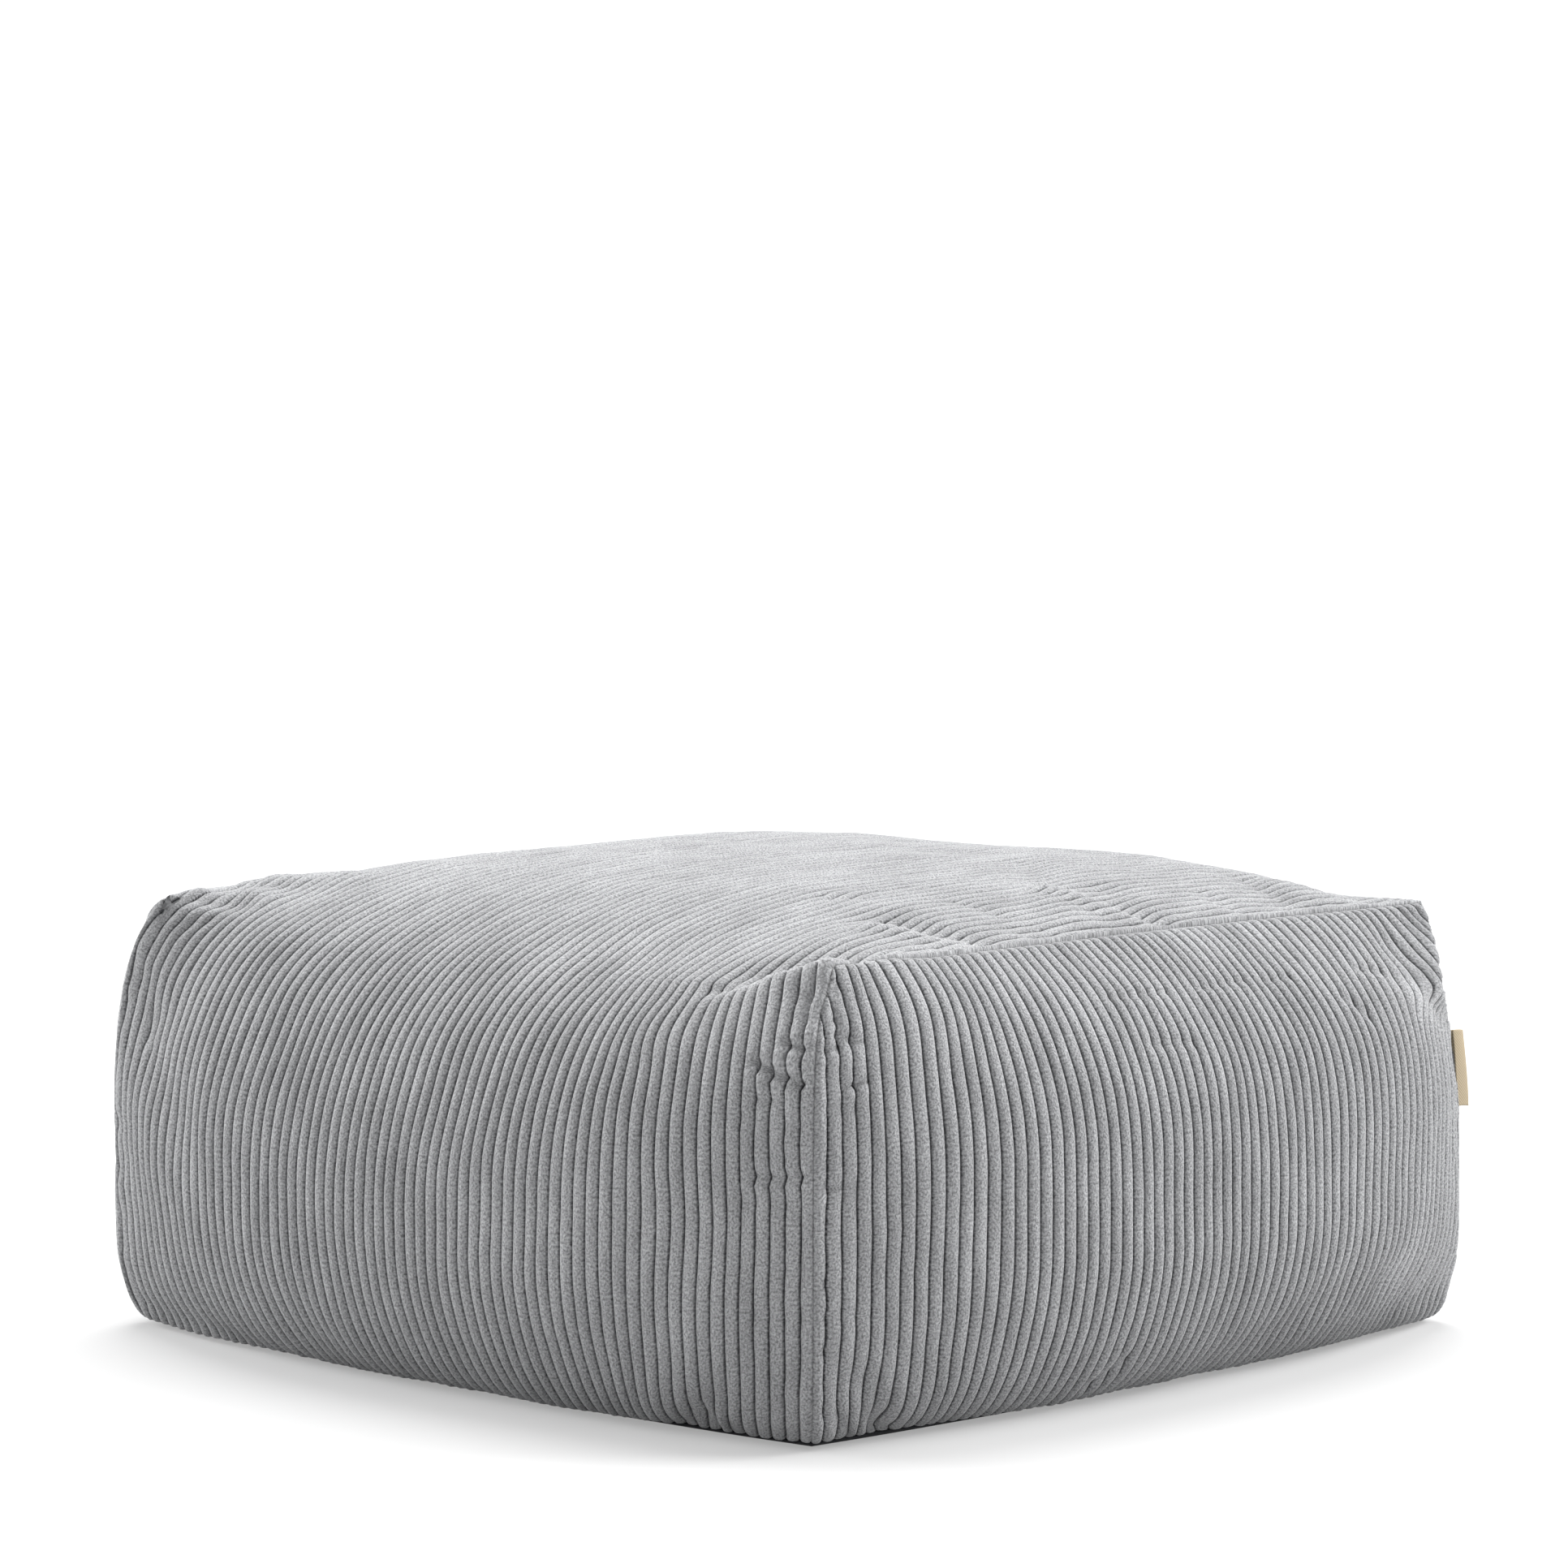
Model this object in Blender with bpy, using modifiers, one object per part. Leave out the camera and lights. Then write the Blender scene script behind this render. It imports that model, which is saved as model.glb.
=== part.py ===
"""A low, square bean bag footstool covered in wide-wale corduroy.

One long panel wraps up the front, over the top and down the back. A panel
closes each end, a plain dark panel closes the base, and a small bare loop of
tape is caught in one upright seam. The filled body carries the wrap panel's
surface, and the end panels and the base panel are sheets that lie on it.

Units are metres. +Z is up, the front faces -Y and the ends face +X and -X.
The origin is the centre of the base, on the floor.
"""

import math
from collections import namedtuple

import bmesh
import bpy
import numpy as np

# ---- Driving sizes ----------------------------------------------------------

WALES = 64  # corduroy ribs across each panel
WALE_DEPTH = 0.0022  # from the crest of a rib to its valley
CORD_THICKNESS = 0.003
BASE_THICKNESS = 0.002
GAP = 0.0003  # between pieces that touch
UNDERSIDE = BASE_THICKNESS + GAP  # the height at which the corduroy starts
SEAM_DIP = 0.0012  # how far an end panel's rim sinks into its seam

CROWN_HEIGHT = 0.320  # of the middle of the top
BELLY_HEIGHT = 0.108  # where the sides stand out furthest
CENTRE = np.array([0, 0, 0.125])  # the middle of the filling
TOP_SEAM_REACH = 0.2996  # from the centre to the middle of a top seam
TOP_SEAM_RISE = 0.001  # how far a top seam rises in its middle

TUCK_POWER = 1.87  # roundness of the tuck under the belly, in the middle of a side
FOOT_POWER = 4.0  # how soon a corner seam reaches its belly, going up
END_POWER = 3.9  # how late an end leans in towards its top seam
BELLY_SPREAD = 2.7  # how evenly a side bulges from corner to corner, at the belly
BASE_SPREAD = 2.6  # the same on the floor, where the bulge reaches the corners
TOP_SPREAD = 3.4  # the same across the top

# ---- Resolution -------------------------------------------------------------

SIDE_ROWS = 9  # steps up a corner seam
TOP_ROWS = 16  # steps along a top seam
WALE_COLUMNS = 2 * WALES  # a valley and a crest for each wale
COLUMNS_PER_STEP = WALE_COLUMNS // TOP_ROWS
CURVE_SAMPLES = 400
ROW_CROWDING = 0.6  # 0 spaces the top's rows evenly, 1 crowds them to the rolls

# ---- Tables -----------------------------------------------------------------

# The four upright corner seams, by the end (+X or -X) and the side (-Y or +Y)
# that meet there: where each stands on the floor, its belly, its top tip, and
# how late it leans in towards that tip.
Corner = namedtuple("Corner", "base_x base_y belly_x belly_y tip_x tip_y tip_z lean")
CORNERS = {
    (1, -1): Corner(0.305, -0.305, 0.325, -0.325, 0.305, -0.295, 0.2925, 4),
    (1, 1): Corner(0.316, 0.300, 0.339, 0.3137, 0.310, 0.310, 0.2885, 3),
    (-1, -1): Corner(-0.306, -0.294, -0.3347, -0.3118, -0.302, -0.302, 0.2965, 4),
    (-1, 1): Corner(-0.306, 0.304, -0.325, 0.325, -0.303, 0.303, 0.2930, 4),
}

# The middle of each side: its distance from the centre on the floor and at the
# belly, and how square its roll over to the top is, where 2 is an ellipse.
Side = namedtuple("Side", "base belly roll")
FRONT = Side(0.312, 0.374, 2.85)
BACK = Side(0.320, 0.368, 3.7)
ENDS = {1: Side(0.323, 0.391, None), -1: Side(0.323, 0.388, None)}

END_NAMES = {1: "right", -1: "left"}

# Soft folds, as ridges (height above 0) and troughs (below 0) from one place on
# the cloth to another. Across runs from the panel's middle, towards +X on the
# wrap panel and towards the back on an end. Along runs from the panel's lower
# edge, the front one on the wrap panel.
Fold = namedtuple("Fold", "panel across along to_across to_along width height")
FOLDS = (
    # The pinched ear over the near corner, and the top's dips behind it.
    Fold("wrap", 0.235, 0.306, 0.318, 0.322, 0.014, 0.004),
    Fold("wrap", 0.245, 0.338, 0.305, 0.366, 0.018, -0.006),
    Fold("wrap", 0.265, 0.405, 0.280, 0.440, 0.030, 0.004),
    Fold("wrap", 0.300, 0.455, 0.245, 0.475, 0.020, -0.004),
    Fold("wrap", 0.300, 0.600, 0.260, 0.620, 0.018, 0.003),
    Fold("wrap", 0.312, 0.655, 0.240, 0.690, 0.018, -0.004),
    Fold("wrap", 0.300, 0.800, 0.230, 0.840, 0.020, -0.003),
    Fold("wrap", 0.305, 0.900, 0.250, 0.890, 0.018, -0.004),
    # The far left corner's hollow and small rolls.
    Fold("wrap", -0.300, 0.344, -0.265, 0.350, 0.020, -0.006),
    Fold("wrap", -0.275, 0.368, -0.255, 0.360, 0.014, 0.004),
    Fold("wrap", -0.300, 0.420, -0.225, 0.420, 0.020, 0.003),
    Fold("wrap", -0.305, 0.250, -0.220, 0.180, 0.022, -0.004),
    # The fuller back roll, and slack folds on the sides that face away.
    Fold("wrap", 0.080, 0.870, 0.250, 0.865, 0.050, 0.005),
    Fold("wrap", -0.290, 0.900, -0.230, 0.880, 0.020, -0.005),
    Fold("wrap", -0.290, 1.120, -0.190, 1.070, 0.022, -0.004),
    Fold("wrap", 0.290, 1.060, 0.215, 1.100, 0.020, -0.004),
    # Slack low on the near face, and the tucks by the near corner.
    Fold("wrap", 0.250, 0.045, 0.225, 0.020, 0.014, -0.003),
    Fold("right", -0.285, 0.060, -0.265, 0.020, 0.012, -0.003),
    Fold("right", 0.020, 0.030, 0.130, 0.075, 0.018, -0.004),
    Fold("right", 0.250, 0.290, 0.285, 0.245, 0.016, -0.003),
    Fold("left", -0.080, 0.035, 0.060, 0.070, 0.020, -0.004),
    Fold("left", 0.230, 0.270, 0.280, 0.200, 0.020, -0.004),
)
FOLD_FADE = 12  # how close to its seams a panel keeps its folds

# ---- Colours and finishes ---------------------------------------------------

Finish = namedtuple("Finish", "name colour roughness")
CORDUROY = Finish("grey_corduroy", (0.36, 0.365, 0.375, 1.0), 0.95)
BASE_CLOTH = Finish("charcoal_base_cloth", (0.035, 0.036, 0.040, 1.0), 0.85)
LABEL_TAPE = Finish("natural_label_tape", (0.71, 0.60, 0.44, 1.0), 0.90)

# ---- Label ------------------------------------------------------------------

LABEL_MIDDLE = 0.176  # height of its centre
LABEL_TALL = 0.052
LABEL_REACH = 0.018  # how far the folded loop stands out of the seam
LABEL_TAPE_THICKNESS = 0.001
LABEL_LOOP_RADIUS = 0.0008  # of the tape's mid-line at the fold
LABEL_HEADING = math.radians(86)  # the way it points, from +X towards +Y
LABEL_ROWS = 6
LABEL_FOLD_STEPS = 6


# ---- Curves -----------------------------------------------------------------


def lengths(curve):
    """The distance along a curve to each of its points."""
    steps = np.linalg.norm(np.diff(curve, axis=0), axis=1)
    return np.concatenate([[0], np.cumsum(steps)])


def at_fractions(curve, fractions):
    """The points that lie at these fractions of a curve's length."""
    travelled = lengths(curve)
    wanted = np.asarray(fractions) * travelled[-1]
    return np.stack([np.interp(wanted, travelled, axis) for axis in curve.T], axis=-1)


def side_fractions():
    return np.linspace(0, 1, SIDE_ROWS + 1)


def top_fractions():
    even = np.linspace(0, 1, TOP_ROWS + 1)
    crowded = 0.5 - 0.5 * np.cos(math.pi * even)
    return even + ROW_CROWDING * (crowded - even)


def corner_post(corner):
    """One upright seam, from the floor to the top corner's tip."""
    base = np.array([corner.base_x, corner.base_y, 0])
    belly = np.array([corner.belly_x, corner.belly_y, BELLY_HEIGHT])
    tip = np.array([corner.tip_x, corner.tip_y, corner.tip_z])
    up = np.linspace(0, 1, CURVE_SAMPLES)[:, None] ** 2
    level = np.array([1, 1, 0])
    out = np.sqrt(1 - (1 - up) ** FOOT_POWER)
    foot = base + (belly - base) * np.where(level, out, up)
    top = belly + (tip - belly) * np.where(level, up**corner.lean, up)
    return np.concatenate([foot, top[1:]])


def top_seam(end, front_tip, back_tip):
    """The seam along the top of one end, from the front tip to the back tip."""
    t = np.linspace(0, 1, CURVE_SAMPLES)[:, None]
    straight = front_tip + (back_tip - front_tip) * t
    bow = end * TOP_SEAM_REACH - (front_tip[0] + back_tip[0]) / 2
    return straight + 4 * t * (1 - t) * np.array([bow, 0, TOP_SEAM_RISE])


def end_seam(end):
    """The whole seam of one end, by rows, and the fraction of it at each row."""
    front = corner_post(CORNERS[end, -1])
    back = corner_post(CORNERS[end, 1])
    top = top_seam(end, front[-1], back[-1])
    runs = [lengths(curve)[-1] for curve in (front, top, back)]
    rows = np.concatenate(
        [
            at_fractions(front, side_fractions()),
            at_fractions(top, top_fractions())[1:],
            at_fractions(back, side_fractions())[-2::-1],
        ]
    )
    travelled = np.concatenate(
        [
            runs[0] * side_fractions(),
            runs[0] + runs[1] * top_fractions()[1:],
            runs[0] + runs[1] + runs[2] * (1 - side_fractions()[-2::-1]),
        ]
    )
    return rows, travelled / sum(runs)


def tuck(side):
    """The lower part of a side's middle line, as reach and height, floor to belly."""
    turn = np.linspace(0, math.pi / 2, CURVE_SAMPLES)
    reach = side.base + (side.belly - side.base) * np.sin(turn) ** (2 / TUCK_POWER)
    height = BELLY_HEIGHT * (1 - np.cos(turn) ** (2 / TUCK_POWER))
    return np.stack([reach, height], axis=-1)


def rolled_side(side):
    """A side's middle line from the floor, over the roll, to the crown."""
    turn = np.linspace(0, math.pi / 2, CURVE_SAMPLES)[1:]
    reach = side.belly * np.cos(turn) ** (2 / side.roll)
    rise = (CROWN_HEIGHT - BELLY_HEIGHT) * np.sin(turn) ** (2 / side.roll)
    roll = np.stack([reach, BELLY_HEIGHT + rise], axis=-1)
    return np.concatenate([tuck(side), roll])


def wrap_middle(fractions):
    """The wrap panel's middle line at these fractions of its length."""
    line = np.concatenate([rolled_side(FRONT) * [-1, 1], rolled_side(BACK)[-2::-1]])
    return np.insert(at_fractions(line, fractions), 0, 0, axis=1)


def end_middle(end, seam_height):
    """An end panel's middle line, from the floor to its top seam, by rows."""
    share = np.linspace(0, 1, CURVE_SAMPLES)[1:]
    belly = ENDS[end].belly
    reach = TOP_SEAM_REACH + (belly - TOP_SEAM_REACH) * (1 - share**END_POWER)
    height = BELLY_HEIGHT + (seam_height - BELLY_HEIGHT) * share
    line = np.concatenate([tuck(ENDS[end]), np.stack([reach, height], axis=-1)])
    points = at_fractions(line, side_fractions())
    return np.stack([end * points[:, 0], 0 * points[:, 0], points[:, 1]], axis=-1)


# ---- Surfaces ---------------------------------------------------------------


def spread(across, height):
    """How much of a side's bulge reaches a place, from 1 mid-way to 0 at a seam."""
    low = 1 - np.clip(height / BELLY_HEIGHT, 0, 1)
    high = np.clip((height - BELLY_HEIGHT) / (CROWN_HEIGHT - BELLY_HEIGHT), 0, 1)
    power = BELLY_SPREAD + (BASE_SPREAD - BELLY_SPREAD) * low**2
    power = power + (TOP_SPREAD - BELLY_SPREAD) * high
    return 1 - np.abs(across) ** power


def outward_normals(points):
    """Unit normals of a grid of points, turned away from the centre."""
    normal = np.cross(np.gradient(points, axis=0), np.gradient(points, axis=1))
    normal /= np.linalg.norm(normal, axis=-1, keepdims=True)
    outward = np.sum(normal * (points - CENTRE), axis=-1, keepdims=True)
    return normal * np.sign(outward)


def fold_heights(panel, across, along):
    """How far the panel's folds lift or sink each point of the cloth."""
    height = np.zeros(np.broadcast(across, along).shape)
    for fold in FOLDS:
        if fold.panel != panel:
            continue
        run = np.array([fold.to_across - fold.across, fold.to_along - fold.along])
        span = max(float(run @ run), 1e-9)
        share = ((across - fold.across) * run[0] + (along - fold.along) * run[1]) / span
        share = np.clip(share, 0, 1)
        off_across = across - fold.across - share * run[0]
        off_along = along - fold.along - share * run[1]
        distance = (off_across**2 + off_along**2) / fold.width**2
        height += fold.height * np.exp(-distance)
    return height


def cloth_grid(points):
    """Each point's place on the flat cloth: across from the middle, and along."""
    steps = np.linalg.norm(np.diff(points, axis=1), axis=-1).mean(axis=0)
    along = np.concatenate([[0], np.cumsum(steps)])
    widths = np.linalg.norm(np.diff(points, axis=0), axis=-1).sum(axis=0)
    share = np.linspace(-0.5, 0.5, len(points))
    return share[:, None] * widths.mean(), along[None, :]


def folded(points, panel):
    """The surface with its folds pressed in, fading out at its edges."""
    across, along = cloth_grid(points)
    by_side = 1 - np.abs(2 * across / np.ptp(across)) ** FOLD_FADE
    by_row = 1 - np.abs(2 * along / np.max(along) - 1) ** FOLD_FADE
    lift = fold_heights(panel, across, along) * by_side * by_row
    return points + outward_normals(points) * lift[..., None]


def wrap_surface():
    """The wrap panel's mean surface, as points by column along X and by row."""
    left, fractions = end_seam(-1)
    right, _ = end_seam(1)
    middle = wrap_middle(fractions)
    across = np.linspace(-1, 1, WALE_COLUMNS + 1)[:, None, None]
    straight = (left * (1 - across) + right * (1 + across)) / 2
    bulge = spread(across, middle[:, 2:])
    points = straight + bulge * (middle - (left + right) / 2)
    return folded(points, "wrap")


def end_surface(end):
    """An end panel's mean surface, as points by column along Y and by row."""
    front = corner_post(CORNERS[end, -1])
    back = corner_post(CORNERS[end, 1])
    top = top_seam(end, front[-1], back[-1])
    front_rows = at_fractions(front, side_fractions())
    back_rows = at_fractions(back, side_fractions())
    middle = end_middle(end, top[CURVE_SAMPLES // 2, 2])
    across = np.linspace(-1, 1, WALE_COLUMNS + 1)[:, None, None]
    straight = (front_rows * (1 - across) + back_rows * (1 + across)) / 2
    bulge = spread(across, middle[:, 2:])
    points = straight + bulge * (middle - (front_rows + back_rows) / 2)
    points[:, -1] = at_fractions(top, np.linspace(0, 1, WALE_COLUMNS + 1))
    return folded(points, END_NAMES[end])


def ribbed(points, normals):
    """The surface with a crest on every odd column and a valley on every even one."""
    crest = np.where(np.arange(len(points)) % 2 == 1, 0.5, -0.5) * WALE_DEPTH
    return points + normals * crest[:, None, None]


def above_base(points):
    """Keeps a surface clear of the base panel, with its lowest row flat on it."""
    points = points.copy()
    points[..., 2] = np.maximum(points[..., 2], UNDERSIDE)
    points[:, 0, 2] = UNDERSIDE
    return points


# ---- Meshes -----------------------------------------------------------------


def add_grid(mesh, points):
    """Adds a grid of faces with its corners at these points, and returns them."""
    columns, rows = points.shape[0] - 1, points.shape[1] - 1
    made = bmesh.ops.create_grid(mesh, x_segments=columns, y_segments=rows, size=1)
    placed = {}
    for vertex in made["verts"]:
        column = round((vertex.co.x + 1) / 2 * columns)
        row = round((vertex.co.y + 1) / 2 * rows)
        vertex.co = points[column, row]
        placed[column, row] = vertex
    return placed


def finish_mesh(name, mesh):
    """Turns the faces outwards and makes the mesh an object."""
    bmesh.ops.recalc_face_normals(mesh, faces=mesh.faces)
    data = bpy.data.meshes.new(name)
    mesh.to_mesh(data)
    mesh.free()
    return bpy.data.objects.new(name, data)


def backed(points, normals, depth):
    """The points sunk by a depth, and the lowest row drawn in level instead."""
    sunk = points - normals * depth
    level = normals[:, 0] * [1, 1, 0]
    level /= np.linalg.norm(level, axis=-1, keepdims=True)
    sunk[:, 0] = points[:, 0] - level * 2 * depth
    return above_base(sunk)


def end_layers(end):
    """An end's ribbed face, its back, and the filling's face behind it."""
    surface = end_surface(end)
    normals = outward_normals(surface)
    face = ribbed(surface, normals)
    rim = surface - normals * SEAM_DIP
    for border in (np.s_[0], np.s_[-1], np.s_[:, -1]):
        face[border] = rim[border]
    coarse = surface[::COLUMNS_PER_STEP].copy()
    slant = normals[::COLUMNS_PER_STEP]
    # The wrap panel's rows meet the top seam here, so these layers share them.
    columns = top_fractions() * WALE_COLUMNS
    for axis in range(3):
        coarse[:, -1, axis] = np.interp(columns, range(WALE_COLUMNS + 1), surface[:, -1, axis])
    back = backed(coarse, slant, CORD_THICKNESS)
    filling = backed(coarse, slant, CORD_THICKNESS + GAP)
    return above_base(face), back, filling


def cover_body():
    """The wrap panel with its filling: one closed, filled solid."""
    surface = wrap_surface()
    normals = outward_normals(surface)
    skin = above_base(ribbed(surface, normals))
    skin[:, -1, 2] = UNDERSIDE
    mesh = bmesh.new()
    for end, column in ((-1, 0), (1, -1)):
        filling = end_layers(end)[2]
        front, back = filling[0], filling[-1, ::-1]
        top = filling[1:-1, -1]
        skin[column] = np.concatenate([front, top, back])
        add_grid(mesh, filling)
    add_grid(mesh, skin)
    bmesh.ops.remove_doubles(mesh, verts=mesh.verts, dist=GAP / 10)
    rim = [edge for edge in mesh.edges if edge.is_boundary]
    bmesh.ops.holes_fill(mesh, edges=rim, sides=0)
    return finish_mesh("cover_body", mesh)


def join_rows(mesh, fine, coarse):
    """Closes the strip between a fine row and a coarse one with triangles."""
    half = COLUMNS_PER_STEP // 2
    for step in range(len(coarse) - 1):
        start = step * COLUMNS_PER_STEP
        near, far = coarse[step], coarse[step + 1]
        for column in range(COLUMNS_PER_STEP):
            tip = near if column < half else far
            mesh.faces.new((fine[start + column], fine[start + column + 1], tip))
        mesh.faces.new((fine[start + half], far, near))


def end_panel(end):
    """One end's corduroy panel: ribbed outside, plain behind, closed at its rim."""
    face, back, _ = end_layers(end)
    mesh = bmesh.new()
    outer = add_grid(mesh, face)
    inner = add_grid(mesh, back)
    for row in (0, SIDE_ROWS):
        fine = [outer[column, row] for column in range(WALE_COLUMNS + 1)]
        coarse = [inner[step, row] for step in range(TOP_ROWS + 1)]
        join_rows(mesh, fine, coarse)
    for fine_column, coarse_column in ((0, 0), (WALE_COLUMNS, TOP_ROWS)):
        for row in range(SIDE_ROWS):
            lower = (outer[fine_column, row], inner[coarse_column, row])
            upper = (inner[coarse_column, row + 1], outer[fine_column, row + 1])
            mesh.faces.new(lower + upper)
    return finish_mesh(f"end_panel_{END_NAMES[end]}", mesh)


def base_panel():
    """The dark panel under it all: a flat sheet that follows the cover's lower edge."""
    wrap = wrap_surface()[::COLUMNS_PER_STEP]
    right, left = (end_surface(end)[::COLUMNS_PER_STEP, 0] for end in (1, -1))
    sides = (wrap[:, 0], right, wrap[::-1, -1], left[::-1])
    outline = np.concatenate([side[:-1, :2] for side in sides])
    curve = bpy.data.curves.new("base_panel", "CURVE")
    curve.dimensions = "2D"
    curve.fill_mode = "BOTH"
    curve.extrude = BASE_THICKNESS / 2
    spline = curve.splines.new("POLY")
    spline.points.add(len(outline) - 1)
    for point, (x, y) in zip(spline.points, outline):
        point.co = (x, y, 0, 1)
    spline.use_cyclic_u = True
    panel = bpy.data.objects.new("base_panel", curve)
    panel.location.z = BASE_THICKNESS / 2
    return panel


def label():
    """A loop of tape, folded at its outer edge and caught in the back right seam."""
    heights = np.linspace(-0.5, 0.5, LABEL_ROWS + 1) * LABEL_TALL + LABEL_MIDDLE
    post = corner_post(CORNERS[1, 1])
    root = np.stack([np.interp(heights, post[:, 2], axis) for axis in post.T], axis=-1)
    out = np.array([math.cos(LABEL_HEADING), math.sin(LABEL_HEADING), 0])
    beside = np.array([out[1], -out[0], 0])
    straight = LABEL_REACH - LABEL_LOOP_RADIUS
    turns = np.linspace(math.pi / 2, -math.pi / 2, LABEL_FOLD_STEPS + 1)
    section = [(0, LABEL_LOOP_RADIUS)]
    for turn in turns:
        section.append(
            (straight + LABEL_LOOP_RADIUS * math.cos(turn), LABEL_LOOP_RADIUS * math.sin(turn))
        )
    section.append((0, -LABEL_LOOP_RADIUS))
    points = np.array([[place + out * o + beside * b for place in root] for o, b in section])
    mesh = bmesh.new()
    add_grid(mesh, points)
    tape = finish_mesh("label", mesh)
    thickness = tape.modifiers.new("tape thickness", "SOLIDIFY")
    thickness.thickness = LABEL_TAPE_THICKNESS
    thickness.offset = 0
    return tape


# ---- Objects ----------------------------------------------------------------


def finish_material(finish):
    """A plain material with the finish's colour and roughness."""
    material = bpy.data.materials.new(finish.name)
    material.use_nodes = True
    shader = material.node_tree.nodes["Principled BSDF"]
    shader.inputs["Base Color"].default_value = finish.colour
    shader.inputs["Roughness"].default_value = finish.roughness
    shader.inputs["Metallic"].default_value = 0
    material.diffuse_color = finish.colour
    return material


def main():
    for old in list(bpy.data.objects):
        bpy.data.objects.remove(old)
    footstool = bpy.data.collections.new("bean_bag_footstool")
    bpy.context.scene.collection.children.link(footstool)
    pieces = (
        (cover_body(), CORDUROY),
        (end_panel(1), CORDUROY),
        (end_panel(-1), CORDUROY),
        (base_panel(), BASE_CLOTH),
        (label(), LABEL_TAPE),
    )
    for piece, finish in pieces:
        piece.data.materials.append(finish_material(finish))
        footstool.objects.link(piece)


if __name__ == "__main__":
    main()
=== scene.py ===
"""The looks of a low, square bean bag footstool in wide-wale corduroy.

One long corduroy panel wraps up the front, over the top and down the back, and
a panel closes each end. A dark panel lies under the base with its margin turned
up, and a small bare loop of tape is caught in the far upright seam. Every rib of
the corduroy is modelled, with the puckers, tucks and slack folds of the cloth.

Units are metres. +Z is up, the front faces -Y and the ends face +X and -X.
"""

import logging
import math
from dataclasses import dataclass, field
from enum import Enum

import bmesh
import bpy
import numpy as np
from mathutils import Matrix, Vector


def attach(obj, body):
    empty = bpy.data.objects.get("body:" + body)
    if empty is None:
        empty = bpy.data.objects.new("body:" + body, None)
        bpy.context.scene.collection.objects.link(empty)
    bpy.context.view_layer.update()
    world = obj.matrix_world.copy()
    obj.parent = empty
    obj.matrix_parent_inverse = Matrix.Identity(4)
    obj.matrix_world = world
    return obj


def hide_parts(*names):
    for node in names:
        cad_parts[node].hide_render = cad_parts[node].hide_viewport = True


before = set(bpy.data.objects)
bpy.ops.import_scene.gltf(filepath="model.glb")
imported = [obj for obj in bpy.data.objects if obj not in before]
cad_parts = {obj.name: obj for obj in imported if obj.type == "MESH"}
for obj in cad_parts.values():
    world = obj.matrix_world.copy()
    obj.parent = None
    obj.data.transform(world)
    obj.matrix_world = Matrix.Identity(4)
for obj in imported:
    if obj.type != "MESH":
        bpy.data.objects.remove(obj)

log = logging.getLogger("footstool")

CURVE_SAMPLES = 400
CENTRE = np.array([0, 0, 0.125])
CREST = 0.5  # the map's place of a rib's crest
NO_LENGTH = 1e-12  # stands in for a length of none, to divide by
BANDS_REPEAT = 0.314  # of a wave texture with a scale of 1, square to its bands
DIAGONAL_REPEAT = 0.222  # the same along each axis, with diagonal bands
CROWDING = 0.3  # how far a panel's rows crowd to its ends, from 0 to 1
WELD = 1e-5  # how close together points become one


# ---- Named choices -----------------------------------------------------------


class Panel(Enum):
    """The corduroy panels that creases are pressed into."""

    WRAP = "wrap"
    RIGHT = "right"
    LEFT = "left"


class End(Enum):
    """The footstool's two ends, by the sign of X that they face."""

    RIGHT = 1
    LEFT = -1

    @property
    def panel(self) -> Panel:
        """The corduroy panel that closes this end."""
        return Panel.RIGHT if self is End.RIGHT else Panel.LEFT

    @property
    def label(self) -> str:
        """The end's name, as it is used in the names of pieces."""
        return self.panel.value


# ---- The corduroy's creases ---------------------------------------------------


@dataclass(frozen=True)
class Crease:
    """A soft ridge or trough, pressed into a panel along a straight line.

    Across runs from the panel's middle, towards +X on the wrap panel and towards
    the back on an end. Along runs from the panel's lower edge, the front one on
    the wrap panel.

    Attributes:
        panel: The panel that it lies in.
        across, along: Where it starts, in metres.
        to_across, to_along: Where it ends.
        width: How far it reaches to either side of its line.
        height: How far it lifts the cloth, or sinks it below 0.
        slide: How far it pushes the ribs sideways, across the panel.
    """

    panel: Panel
    across: float
    along: float
    to_across: float
    to_along: float
    width: float
    height: float
    slide: float = 0.0


WRAP, RIGHT, LEFT = Panel.WRAP, Panel.RIGHT, Panel.LEFT

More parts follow.
